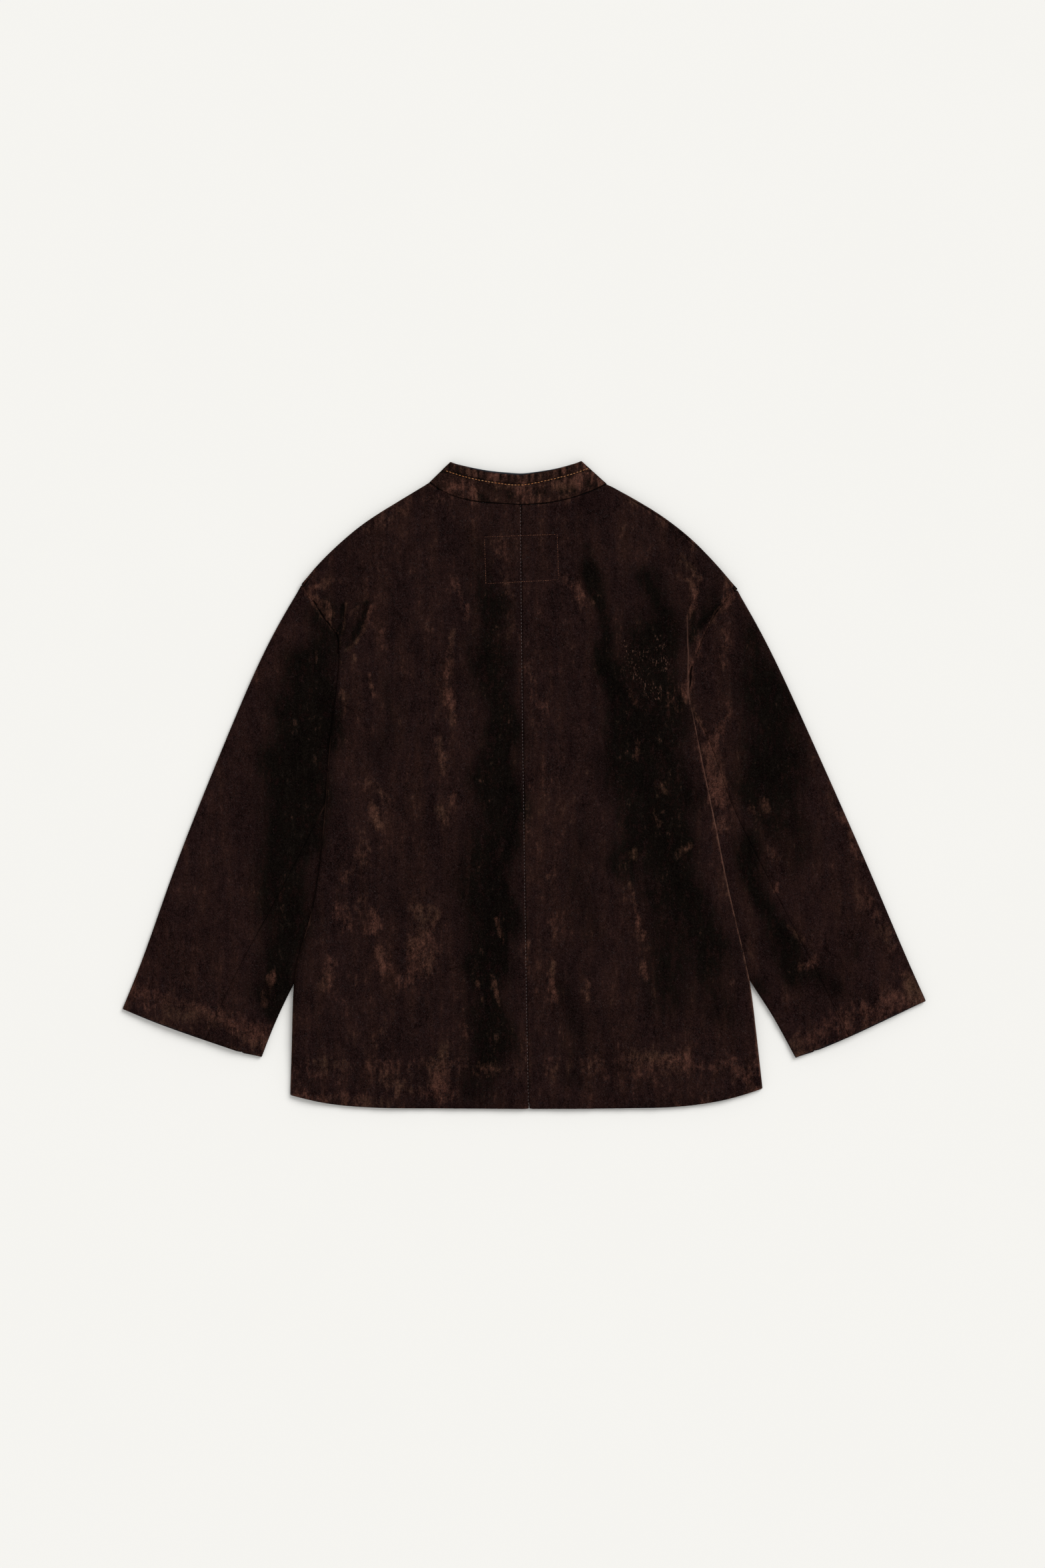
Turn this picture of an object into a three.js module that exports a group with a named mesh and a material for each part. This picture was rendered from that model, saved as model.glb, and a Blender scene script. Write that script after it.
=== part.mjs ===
import * as THREE from 'three';

// A velvet jacket laid flat on its front, so that its back faces up. It has a stand collar, a back
// in two halves, two fronts and two-piece sleeves. The sides of the body lie on the inner part of
// each sleeve. Sizes are in millimetres: +X to the right of the back as it is seen, +Y towards the
// collar, +Z up from the surface that the jacket lies on, which is z = 0.

// Cloth and the air between its layers
const WALL = 2.4;
const HALF_WALL = WALL / 2;
const COLLAR_WALL = 2.0;
const COLLAR_INNER_WALL = 1.0;
const SEAM_GAP = 0.4;
const LAYER_AIR = 0.5;

// Heights of the middle of each layer above the surface
const FLOOR_LAYER = HALF_WALL;
const SLEEVE_LAYER = FLOOR_LAYER + WALL + LAYER_AIR;
const FLAP_LAYER = SLEEVE_LAYER + WALL + LAYER_AIR;
const BACK_LAYER = FLOOR_LAYER + WALL + 2.6;
const BACK_OVER_FLAP = FLAP_LAYER + WALL + 0.9;
const BACK_OVER_SLEEVE = SLEEVE_LAYER + WALL + 0.7;
const SLEEVE_LOFT = 2.6;
const HEM_SETTLE = 1.6;
const TROUGH_AIR = 2.1;

// Distances over which a layer changes its height, each from where it starts to where it ends
const FRONT_SLOPE = { from: 3, to: 38, places: [38, 26, 14, 3], step: 4 };
const BACK_SLOPE = { from: -10, to: 70 };
const FLAP_FADE = { from: 6, to: 40 };
const CAP_FADE = { from: 2, to: 20 };
const UNDERARM_FADE = 24;
const HEM_FADE = { settle: 60, folds: 80 };
const SEAM_FADE = { from: 2, to: 20, folds: 14 };
const LOFT_FADE = { fromBody: { from: 4, to: 40 }, fromTurn: { from: 2.65, to: 45 } };

// Edges where the back turns over the front
const TURN_WIDTH = 3.0;
const TURN_COLUMNS = [3.0, 1.5, 0.6, 0.12, 0];
const TURN_OVERLAP = 0.8;
const TURN_RISE = 0.7;
const TURN_ENDS = { side: 0.035, shoulder: 0.06, front: 0.05 };
const FRONT_INSET = 3.6;
const FRONT_HEM_Y = -340;
const FRONT_HEM_RISE = 1;

// Collar: its bands lie inside each other, round one middle height at the sides of the neck
const COLLAR_RADIUS = 2.5;
const COLLAR_INNER_RADIUS = 0.7;
const COLLAR_MIDDLE = COLLAR_WALL / 2 + COLLAR_RADIUS;
const COLLAR_INSET = COLLAR_WALL / 2 + COLLAR_RADIUS;
const COLLAR_INNER_RISE = 1.2;

const COLORS = { velvet: 0x2c1b18, reverse: 0x39454b };

// Tables of the jacket's outline, a row for each point in order
const table = (names, ...rows) =>
  rows.map((row) => Object.fromEntries(names.split(' ').map((name, place) => [name, row[place]])));

const CENTRE_SEAM = table('x y', [5.6, -364], [2.6, -192], [-0.4, 21], [-3.4, 314.6]);

const LEFT = {
  name: 'left',
  sign: -1,
  neck: table('x y', [-3.4, 314.6], [-55, 318.4], [-87, 326.6], [-107, 340]),
  shoulder: table('x y', [-107, 340], [-138, 321], [-163, 306], [-185, 291], [-203, 276], [-219, 261],
    [-234, 246], [-249.4, 225.4]),
  armhole: table('x y', [-208, 167.5], [-224, 186], [-235, 204], [-249.4, 225.4]),
  side: table('x y', [-263, -348.4], [-261, -284], [-258.5, -218], [-254, -192], [-240, -149],
    [-226, -54], [-218, 48], [-209, 117], [-205.5, 131], [-208.5, 148], [-208, 167.5]),
  hem: table('x y', [5.6, -364], [-90, -363.4], [-169, -362.6], [-222, -358], [-263, -348.4]),
  sleeveOuter: table('x y', [-249.4, 225.4], [-273.4, 185.6], [-296.6, 140.6], [-341.6, 35.6],
    [-389.6, -84.4], [-432.4, -204.4], [-451.9, -251.6]),
  sleeveInner: table('x y', [-110, 88], [-185, -68], [-258.4, -222.4], [-278.6, -263], [-295, -305.6]),
  cuff: table('x y', [-451.9, -251.6], [-418.9, -264.4], [-358, -286], [-320, -299], [-295, -305.6]),
  hindarm: table('x y', [-178, 131], [-205, 20], [-240.4, -54.4], [-278.6, -128], [-324.4, -212],
    [-358, -286]),
  cuffFront: table('x y', [-451.9, -251.6], [-418.4, -265.9], [-357.5, -287.6], [-318, -301]),
  capOuter: table('x y', [-208, 167.5], [-212, 150], [-178, 131]),
  capInner: table('x y', [-178, 131], [-145, 113], [-110, 88]),
  frontCapOuter: table('x y', [-249.4, 225.4], [-205, 150], [-150, 104]),
  frontCapInner: table('x y', [-150, 104], [-130, 97], [-110, 88]),
  forearm: table('x y', [-150, 104], [-250, -110], [-318, -301]),
  frontNeck: table('x y', [-3.4, 231], [-44, 252], [-78, 296], [-107, 340]),
  collarTop: table('x y', [-2.6, 348.4], [-40, 352.1], [-65, 357.4], [-83.6, 362.6]),
  collarFrontTop: table('x y', [-3.4, 265], [-26, 281], [-52, 318], [-83.6, 362.6]),
  flapTop: 60,
};

const RIGHT = {
  name: 'right',
  sign: 1,
  neck: table('x y', [-3.4, 314.6], [22, 316], [45.4, 320], [68.6, 327.4], [93.4, 338]),
  shoulder: table('x y', [93.4, 338], [125, 321], [150, 306], [171, 291], [189, 276], [204, 261],
    [219, 245], [238.9, 220.1]),
  armhole: table('x y', [187, 128], [196, 154], [206, 176], [216, 195.4], [238.9, 220.1]),
  side: table('x y', [268, -341], [260, -271], [253, -218], [242, -170], [228.4, -112], [215, -45],
    [196, 45], [186.5, 93], [183.5, 102], [185, 112], [187, 128]),
  hem: table('x y', [5.6, -364], [101, -363.4], [180.4, -361], [234, -352], [268, -341]),
  sleeveOuter: table('x y', [238.9, 220.1], [259.1, 185.6], [282.4, 140.6], [330.4, 35.6],
    [383.6, -84.4], [434.6, -204.4], [451.9, -242.6]),
  sleeveInner: table('x y', [108, 58], [181, -82], [253.9, -221], [275, -251.6], [304.9, -306.4]),
  cuff: table('x y', [451.9, -242.6], [415, -259], [365, -282.4], [328, -297.4], [304.9, -306.4]),
  hindarm: table('x y', [176, 100], [203, 63], [232, -18], [277, -110], [318, -189], [365, -282.4]),
  cuffFront: table('x y', [451.9, -242.6], [414.4, -260.5], [364.3, -284], [327, -299.5]),
  capOuter: table('x y', [187, 128], [189, 110], [176, 100]),
  capInner: table('x y', [176, 100], [145, 80], [108, 58]),
  frontCapOuter: table('x y', [238.9, 220.1], [190, 128], [140, 78]),
  frontCapInner: table('x y', [140, 78], [124, 69], [108, 58]),
  forearm: table('x y', [140, 78], [250, -110], [327, -299.5]),
  frontNeck: table('x y', [-3.4, 231], [36, 252], [67, 296], [93.4, 338]),
  collarTop: table('x y', [-2.6, 348.4], [20, 351.6], [38, 355.1], [64.9, 363.6]),
  collarFrontTop: table('x y', [-3.4, 265], [18, 281], [41, 318], [64.9, 363.6]),
  flapTop: 30,
};

// Soft folds of the cloth, each a ridge or, with a negative height, a trough along a bent line
const BACK_FOLDS = table('x1 y1 xm ym x2 y2 width height',
  [-20, 205, -36, -40, -30, -330, 20, -1.5],
  [-62, 215, -84, -60, -72, -300, 26, 1.2],
  [78, 250, 100, 30, 168, -182, 24, -1.5],
  [48, 200, 58, -60, 88, -300, 26, 1.1],
  [128, 225, 150, 60, 186, -60, 20, 0.9],
  [-169, 213, -176, 185, -194, 156, 7, 1.8],
  [-178, 208, -190, 188, -200, 170, 5, -0.9],
  [187, 226, 183, 180, 184, 118, 7, 1.8]);
const SLEEVE_FOLDS = table('x1 y1 xm ym x2 y2 width height',
  [-245, 170, -258, -30, -300, -170, 16, -1.2],
  [243, 150, 275, 60, 318, -70, 16, -1.2],
  [262, -60, 282, -120, 300, -160, 12, -0.8]);
const FOLD_STEPS = 16;
const FOLD_START = [-0.05, 0.2];
const FOLD_END = [0.85, 1.1];
const FINE_ROWS = 40;

// Rows and columns of cells in each piece
const BACK_CELLS = { neck: 6, shoulder: 8, side: 20, armhole: 5 };
const FRONT_CELLS = { flat: 7, flap: 4, low: 10, upper: 7, neck: 6 };
const SLEEVE_CELLS = { length: 14, cap: 3, topFront: 6, underBack: 3, underFront: 2, turn: 4 };
const COLLAR_CELLS = { turn: 4, height: 3, innerHeight: 2 };

const clamp = THREE.MathUtils.clamp;
const lerp = THREE.MathUtils.lerp;
const step = (value, from, to) => THREE.MathUtils.smoothstep(value, from, to);
const fade = (value, { from, to }) => step(value, from, to);
const shares = (count) => Array.from({ length: count + 1 }, (_, place) => place / count);
const point = ({ x, y }) => new THREE.Vector3(x, y, 0);
const at = (plan, height) => new THREE.Vector3(plan.x, plan.y, height);

// A smooth line through one table, or through several that meet at corners. It takes a share of
// the whole length and gives a point. Its corners are the shares where two tables meet.
function line(...tables) {
  const path = new THREE.CurvePath();
  for (const rows of tables) {
    path.add(new THREE.CatmullRomCurve3(rows.map(point), false, 'centripetal'));
  }
  const lengths = path.getCurveLengths();
  const whole = lengths[lengths.length - 1];
  const along = (share) => path.getPoint(clamp(share, 0, 1 - 1e-9));
  along.whole = whole;
  along.corner = lengths[0] / whole;
  return along;
}

// A table's smooth line as close rows, for looking up places on it
const fine = (rows) => {
  const along = line(rows);
  return shares(FINE_ROWS).map((share) => ({ x: along(share).x, y: along(share).y }));
};

// Place across the jacket of a line at height y, straight between its rows and beyond them
function acrossAt(rows, y) {
  const ordered = rows[0].y < rows[rows.length - 1].y ? rows : [...rows].reverse();
  let place = ordered.findIndex((row) => row.y > y);
  place = clamp(place < 0 ? ordered.length - 1 : place, 1, ordered.length - 1);
  const low = ordered[place - 1];
  const high = ordered[place];
  return lerp(low.x, high.x, (y - low.y) / (high.y - low.y));
}

// Place up the jacket of a table's line at x
function upAt(rows, x) {
  return acrossAt(rows.map((row) => ({ x: row.y, y: row.x })), x);
}

// Distance in plan from a place to a table's line
function distanceTo(rows, x, y) {
  const here = point({ x, y });
  const nearest = new THREE.Vector3();
  const distances = rows.slice(1).map((row, place) =>
    new THREE.Line3(point(rows[place]), point(row)).closestPointToPoint(here, true, nearest)
      .distanceTo(here));
  return Math.min(...distances);
}

// Two lines end to end, the first over the shares below the joint
const joined = (first, second, joint) => (share) =>
  (share < joint ? first(share / joint) : second((share - joint) / (1 - joint)));

// A surface in plan between four lines that meet at its corners
function patch(bottom, top, near, far) {
  const corners = [bottom(0), bottom(1), top(0), top(1)];
  return (across, up) => {
    const weights = [(1 - across) * (1 - up), across * (1 - up), (1 - across) * up, across * up];
    const place = bottom(across).multiplyScalar(1 - up).addScaledVector(top(across), up);
    place.addScaledVector(near(up), 1 - across).addScaledVector(far(up), across);
    corners.forEach((corner, index) => place.addScaledVector(corner, -weights[index]));
    return place;
  };
}

// A closed wall of cloth with its middle on a grid of points. Where the grid has no point, the
// cloth has an opening or an edge.
function wall(grid, thickness) {
  const columns = grid[0].length;
  const has = (row, column) => Boolean(grid[row]?.[column]);
  const direction = (from, to) => to.clone().sub(from).normalize();
  const tangent = (row, column, rowStep, columnStep) => {
    const here = grid[row][column];
    const sum = new THREE.Vector3();
    if (has(row + rowStep, column + columnStep)) {
      sum.add(direction(here, grid[row + rowStep][column + columnStep]));
    }
    if (has(row - rowStep, column - columnStep)) {
      sum.add(direction(grid[row - rowStep][column - columnStep], here));
    }
    return sum;
  };
  const positions = [];
  const vertex = new Map();
  grid.forEach((points, row) => points.forEach((here, column) => {
    if (!here) return;
    const normal = tangent(row, column, 0, 1).cross(tangent(row, column, 1, 0)).normalize();
    vertex.set(row * columns + column, positions.length / 3);
    for (const side of [1, -1]) {
      positions.push(...here.clone().addScaledVector(normal, (side * thickness) / 2).toArray());
    }
  }));
  const cell = (row, column) =>
    has(row, column) && has(row, column + 1) && has(row + 1, column) && has(row + 1, column + 1);
  const id = (row, column) => vertex.get(row * columns + column);
  const faces = [];
  for (let row = 0; row < grid.length - 1; row += 1) {
    for (let column = 0; column < columns - 1; column += 1) {
      if (!cell(row, column)) continue;
      const a = id(row, column);
      const b = id(row, column + 1);
      const c = id(row + 1, column + 1);
      const d = id(row + 1, column);
      faces.push(a, b, c, a, c, d, a + 1, c + 1, b + 1, a + 1, d + 1, c + 1);
      const borders = [
        [a, b, row - 1, column], [b, c, row, column + 1],
        [c, d, row + 1, column], [d, a, row, column - 1],
      ];
      for (const [from, to, nextRow, nextColumn] of borders) {
        if (cell(nextRow, nextColumn)) continue;
        faces.push(to, from, from + 1, to, from + 1, to + 1);
      }
    }
  }
  const geometry = new THREE.BufferGeometry();
  geometry.setAttribute('position', new THREE.Float32BufferAttribute(positions, 3));
  geometry.setIndex(faces);
  geometry.computeVertexNormals();
  return geometry;
}

function piece(name, geometry, color) {
  const material = new THREE.MeshStandardMaterial({ color, roughness: 0.95, metalness: 0 });
  const mesh = new THREE.Mesh(geometry, material);
  mesh.name = name;
  return mesh;
}

// Sum of the folds at a place
function foldHeight(folds, x, y) {
  let height = 0;
  for (const fold of folds) {
    let nearest = Infinity;
    let share = 0;
    for (const t of shares(FOLD_STEPS)) {
      const lineX = lerp(lerp(fold.x1, fold.xm, t), lerp(fold.xm, fold.x2, t), t);
      const lineY = lerp(lerp(fold.y1, fold.ym, t), lerp(fold.ym, fold.y2, t), t);
      const distance = Math.hypot(x - lineX, y - lineY);
      if (distance < nearest) {
        nearest = distance;
        share = t;
      }
    }
    height += fold.height * Math.exp(-((nearest / fold.width) ** 2)) * step(share, ...FOLD_START)
      * (1 - step(share, ...FOLD_END));
  }
  return height;
}

// Share, 0 to 1, in which the body lies on the sleeve's inner part: 1 on the sleeve
function onSleeve(side, x, y, slope) {
  const clear = side.sign * (acrossAt(side.fine.sleeveInner, y) - x);
  return 1 - fade(clear, slope);
}

const frontHeight = (side, x, y) =>
  lerp(FLOOR_LAYER, FLAP_LAYER, onSleeve(side, x, y, FRONT_SLOPE));

function sleeveHeight(side, x, y, fromTurn) {
  const outside = side.sign * (x - acrossAt(side.fine.edge, y));
  const loft = fade(outside, LOFT_FADE.fromBody) * fade(fromTurn, LOFT_FADE.fromTurn);
  return SLEEVE_LAYER + loft * (SLEEVE_LOFT + foldHeight(SLEEVE_FOLDS, x, y));
}

function backHeight(side, x, y) {
  const flap = 1 - fade(y - side.flapTop, FLAP_FADE);
  const cap = upAt([side.capOuter[1], side.capOuter[2], side.capInner[2]], x);
  const underCap = 1 - fade(y - cap, CAP_FADE);
  const high = lerp(BACK_OVER_SLEEVE, BACK_OVER_FLAP, flap);
  const rest = lerp(BACK_LAYER, high, onSleeve(side, x, y, BACK_SLOPE) * underCap);
  const toSeam = distanceTo(side.armhole, x, y);
  const aboveHem = y - upAt(side.fine.hem, x);
  const settled = rest - (BACK_LAYER - SLEEVE_LAYER) * (1 - fade(toSeam, SEAM_FADE))
    - HEM_SETTLE * (1 - step(aboveHem, 0, HEM_FADE.settle));
  // A trough goes no deeper than the air over the layer below it allows
  const below = lerp(FLOOR_LAYER, lerp(SLEEVE_LAYER, FLAP_LAYER, flap),
    onSleeve(side, x, y, FRONT_SLOPE) * underCap);
  const air = clamp((rest - below - WALL - LAYER_AIR) / TROUGH_AIR, 0, 1);
  const fold = foldHeight(BACK_FOLDS, x, y) * step(aboveHem, 0, HEM_FADE.folds)
    * step(toSeam, 0, SEAM_FADE.folds);
  return settled + (fold < 0 ? fold * air : fold);
}

// Shares of a panel's length that end with those of its turned edge. The corner between its two
// lines stays where it is.
function turned(evenShares, length, corner) {
  const last = 1 - TURN_WIDTH / length;
  const even = evenShares.map((share) =>
    (share > corner ? lerp(corner, last, (share - corner) / (1 - corner)) : share));
  return [...even, ...TURN_COLUMNS.slice(1).map((distance) => 1 - distance / length)];
}

const quarterTurn = (distance) => 1 - Math.sqrt(1 - (1 - clamp(distance / TURN_WIDTH, 0, 1)) ** 2);

function back(side) {
  const seam = line(CENTRE_SEAM);
  const edge = line(side.side, side.armhole);
  const top = line(side.neck, side.shoulder);
  const surface = patch(line(side.hem), top, seam, edge);
  const { neck, shoulder, side: sideRows, armhole } = BACK_CELLS;
  const evenColumns = [...shares(neck).map((share) => share * top.corner),
    ...shares(shoulder).slice(1).map((share) => lerp(top.corner, 1, share))];
  const evenRows = [...shares(sideRows).map((share) => share * edge.corner),
    ...shares(armhole).slice(1).map((share) => lerp(edge.corner, 1, share))];
  const height = seam.whole;
  const grid = turned(evenRows, height, edge.corner).map((up) => {
    const width = seam(up).distanceTo(edge(up));
    const sideTurn = 1 - step(up, edge.corner - TURN_ENDS.side, edge.corner);
    const insetSide = lerp(SEAM_GAP / 2, HALF_WALL, sideTurn);
    return turned(evenColumns, width, top.corner).map((share) => {
      const shoulderTurn = step(share, top.corner, top.corner + TURN_ENDS.shoulder);
      const insetTop = lerp(SEAM_GAP / 2, HALF_WALL, shoulderTurn);
      const across = lerp(SEAM_GAP / 2 / width, 1 - insetSide / width, share);
      const plan = surface(across, up * (1 - insetTop / height));
      const rest = backHeight(side, plan.x, plan.y);
      const overSleeve = TURN_RISE * step(plan.y, side.flapTop, side.flapTop + FLAP_FADE.to);
      const low = frontHeight(side, plan.x, plan.y) - TURN_OVERLAP + overSleeve;
      const drop = Math.max(quarterTurn((1 - share) * width) * sideTurn,
        quarterTurn((1 - up) * height) * shoulderTurn);
      return at(plan, rest - (rest - low) * drop);
    });
  });
  return piece(`back_${side.name}`, wall(grid, WALL), COLORS.velvet);
}

// Places across a row of the front below the armhole: even ones, those of the slope beside the
// sleeve, and those of the flap that lies on the sleeve
function frontRow(side, y) {
  const outward = (x) => x * side.sign;
  const from = outward(acrossAt(side.fine.centre, y)) + SEAM_GAP / 2;
  const to = outward(acrossAt(side.fine.edge, y)) - FRONT_INSET;
  const inner = outward(acrossAt(side.fine.sleeveInner, y));
  const { flat, flap } = FRONT_CELLS;
  const outermost = FRONT_SLOPE.places.length - 1;
  const slope = FRONT_SLOPE.places.map((clear, place) =>
    Math.min(inner - clear, to - FRONT_SLOPE.step * (outermost - place + flap)));
  const even = shares(flat).slice(0, -1).map((share) => lerp(from, slope[0], share));
  const onTop = shares(flap).slice(1).map((share) => lerp(slope[outermost], to, share));
  return [...even, ...slope, ...onTop].map(outward);
}

function front(side) {
  const { flat, low, upper, neck } = FRONT_CELLS;
  const hemRow = frontRow(side, FRONT_HEM_Y);
  const flapRow = frontRow(side, side.flapTop);
  const lowRows = shares(low).map((up) => hemRow.map((hemX, column) => {
    const y = lerp(upAt(side.fine.hem, hemX) + FRONT_HEM_RISE, side.flapTop, up);
    const x = frontRow(side, y)[column];
    return at({ x, y }, frontHeight(side, x, y));
  }));
  // Above the flap the front ends at the armhole, and comes down to the surface
  const armholeColumn = flat + FRONT_SLOPE.places.length - 1;
  const start = { x: flapRow[0], y: side.flapTop };
  const corner = { x: flapRow[armholeColumn], y: side.flapTop };
  const underarm = side.frontCapInner[side.frontCapInner.length - 1];
  const below = table('x y', [corner.x, corner.y], [underarm.x, underarm.y]);
  const armhole = line(below, [...side.frontCapInner].reverse(), [...side.frontCapOuter].reverse());
  const columnShare = (column) => (flapRow[column] - start.x) / (corner.x - start.x);
  const joint = columnShare(neck);
  const top = joined(line(side.frontNeck), line(side.shoulder), joint);
  const bottom = line([start, corner]);
  const centre = line([start, side.frontNeck[0]]);
  const surface = patch(bottom, top, centre, armhole);
  const ups = shares(upper).map((share) => lerp(armhole.corner, 1, share));
  const upperRows = ups.map((up) => flapRow.map((_, column) => {
    if (column > armholeColumn) return null;
    const share = columnShare(column);
    const width = centre(up).distanceTo(armhole(up));
    const height = bottom(share).distanceTo(top(share));
    const insetTop = lerp(SEAM_GAP / 2, FRONT_INSET,
      step(share, joint - TURN_ENDS.front, joint + TURN_ENDS.front));
    const across = lerp(SEAM_GAP / 2 / width, 1 - SEAM_GAP / width, share);
    const plan = surface(across, up * (1 - insetTop / height));
    const down = step(plan.y, side.flapTop, side.flapTop + UNDERARM_FADE);
    return at(plan, lerp(frontHeight(side, plan.x, plan.y), FLOOR_LAYER, down));
  }));
  return piece(`front_${side.name}`, wall([...lowRows, ...upperRows], WALL), COLORS.velvet);
}

// One piece of a sleeve. From its seam on the back it runs to the sleeve's folded edge, turns round
// it and runs along the front to its other seam.
function sleeve(side, part) {
  const parts = {
    top: {
      turn: side.sleeveOuter,
      backCap: joined(line([...side.armhole].reverse()), line(side.capOuter),
        BACK_CELLS.armhole / (BACK_CELLS.armhole + SLEEVE_CELLS.cap)),
      backCuff: side.cuff.slice(0, 3),
      frontCap: side.frontCapOuter,
      frontCuff: side.cuffFront,
      cells: [BACK_CELLS.armhole + SLEEVE_CELLS.cap, SLEEVE_CELLS.topFront],
    },
    under: {
      turn: side.sleeveInner,
      backCap: line([...side.capInner].reverse()),
      backCuff: side.cuff.slice(2).reverse(),
      frontCap: [...side.frontCapInner].reverse(),
      frontCuff: [side.cuff[side.cuff.length - 1], side.cuffFront[side.cuffFront.length - 1]],
      cells: [SLEEVE_CELLS.underBack, SLEEVE_CELLS.underFront],
    },
  }[part];
  const turn = line(parts.turn);
  const onBack = patch(parts.backCap, line(parts.backCuff), turn, line(side.hindarm));
  const onFront = patch(line(parts.frontCap), line(parts.frontCuff), turn, line(side.forearm));
  const radius = (SLEEVE_LAYER - FLOOR_LAYER) / 2;
  const inset = HALF_WALL + radius;
  const capInset = SEAM_GAP / turn.whole;
  const [backCells, frontCells] = parts.cells;
  const grid = shares(SLEEVE_CELLS.length).map((share) => {
    const down = lerp(capInset, 1, share);
    const place = (surface, fromTurn) => {
      const width = surface(0, down).distanceTo(surface(1, down));
      return surface(lerp(inset / width, 1 - SEAM_GAP / 2 / width, fromTurn), down);
    };
    const edge = turn(down);
    const backPoints = shares(backCells).reverse().map((fromTurn) => {
      const plan = place(onBack, fromTurn);
      return at(plan, sleeveHeight(side, plan.x, plan.y, plan.distanceTo(edge)));
    });
    const frontPoints = shares(frontCells).map((fromTurn) => at(place(onFront, fromTurn), FLOOR_LAYER));
    const along = turn(down + 0.01).sub(turn(down - 0.01)).normalize();
    const outward = new THREE.Vector3(along.y, -along.x, 0);
    if (outward.dot(frontPoints[0].clone().sub(edge)) > 0) outward.negate();
    const from = backPoints[backCells];
    const turnPoints = shares(SLEEVE_CELLS.turn).slice(1, -1).map((round) => {
      const plan = from.clone().lerp(frontPoints[0], round);
      plan.addScaledVector(outward, radius * Math.sin(Math.PI * round));
      return at(plan, FLOOR_LAYER + radius * (1 + Math.cos(Math.PI * round)));
    });
    return [...backPoints, ...turnPoints, ...frontPoints];
  });
  return piece(`sleeve_${side.name}_${part}`, wall(grid, WALL), COLORS.velvet);
}

// A band of the collar. From the centre front it lies on the surface, turns up at the side of the
// neck, crosses the back and comes back in the same way.
function band(name, { thickness, radius, rise, heightCells, color }) {
  const half = (side) => {
    const onFront = { bottom: line(side.frontNeck), top: line(side.collarFrontTop) };
    const onBack = { bottom: line(side.neck), top: line(side.collarTop) };
    const station = ({ bottom, top }, share, height) => ({
      bottom: at(bottom(Math.min(share, 1 - COLLAR_INSET / bottom.whole)), height),
      top: at(top(Math.min(share, 1 - COLLAR_INSET / top.whole)), height),
      rise: rise * (1 - share ** 2),
    });
    const low = COLLAR_MIDDLE - radius;
    const high = COLLAR_MIDDLE + radius;
    const centreGap = SEAM_GAP / 2 / onFront.bottom.whole;
    const frontStations = shares(FRONT_CELLS.neck).map((share) =>
      station(onFront, Math.max(centreGap, share), low));
    const backStations = shares(BACK_CELLS.neck).map((share) => station(onBack, share, high));
    const fold = onBack.top(1).sub(onBack.bottom(1)).normalize();
    const outward = new THREE.Vector3(fold.y * side.sign, -fold.x * side.sign, 0);
    const from = frontStations[FRONT_CELLS.neck];
    const to = backStations[BACK_CELLS.neck];
    const turnStations = shares(COLLAR_CELLS.turn).slice(1, -1).map((round) => {
      const move = (start, end) => at(start.clone().lerp(end, round)
        .addScaledVector(outward, radius * Math.sin(Math.PI * round)),
      COLLAR_MIDDLE - radius * Math.cos(Math.PI * round));
      return { bottom: move(from.bottom, to.bottom), top: move(from.top, to.top), rise: 0 };
    });
    return [...frontStations, ...turnStations, ...backStations.reverse()];
  };
  const stations = [...half(LEFT), ...half(RIGHT).reverse().slice(1)];
  const grid = shares(heightCells).map((up) => stations.map(({ bottom, top, rise: more }) => {
    const height = bottom.distanceTo(top);
    return bottom.clone().lerp(top, lerp(SEAM_GAP / 2 / height, 1 + more / height, up));
  }));
  return piece(name, wall(grid, thickness), color);
}

const OUTER_BAND = {
  thickness: COLLAR_WALL,
  radius: COLLAR_RADIUS,
  rise: 0,
  heightCells: COLLAR_CELLS.height,
  color: COLORS.velvet,
};
const INNER_BAND = {
  thickness: COLLAR_INNER_WALL,
  radius: COLLAR_INNER_RADIUS,
  rise: COLLAR_INNER_RISE,
  heightCells: COLLAR_CELLS.innerHeight,
  color: COLORS.reverse,
};

const jacket = new THREE.Group();
for (const side of [LEFT, RIGHT]) {
  side.fine = {
    centre: fine(CENTRE_SEAM),
    edge: [...fine(side.side), ...fine(side.armhole).slice(1)],
    sleeveInner: fine(side.sleeveInner),
    hem: fine(side.hem),
  };
  jacket.add(back(side), front(side), sleeve(side, 'top'), sleeve(side, 'under'));
}
jacket.add(band('collar', OUTER_BAND), band('collar_inner', INNER_BAND));

export default jacket;
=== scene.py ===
"""Velvet jacket laid flat on its front: cloth, threads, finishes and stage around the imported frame.

Lengths in the tables are millimetres, and objects are in metres. +X is to the right of the back as
it is seen, +Y goes from the hem to the collar, and +Z is up from the surface that the jacket lies on.
"""

import math

import bmesh
import bpy
import numpy as np
from mathutils import Matrix, Vector
from mathutils.bvhtree import BVHTree
from mathutils.kdtree import KDTree


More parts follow.
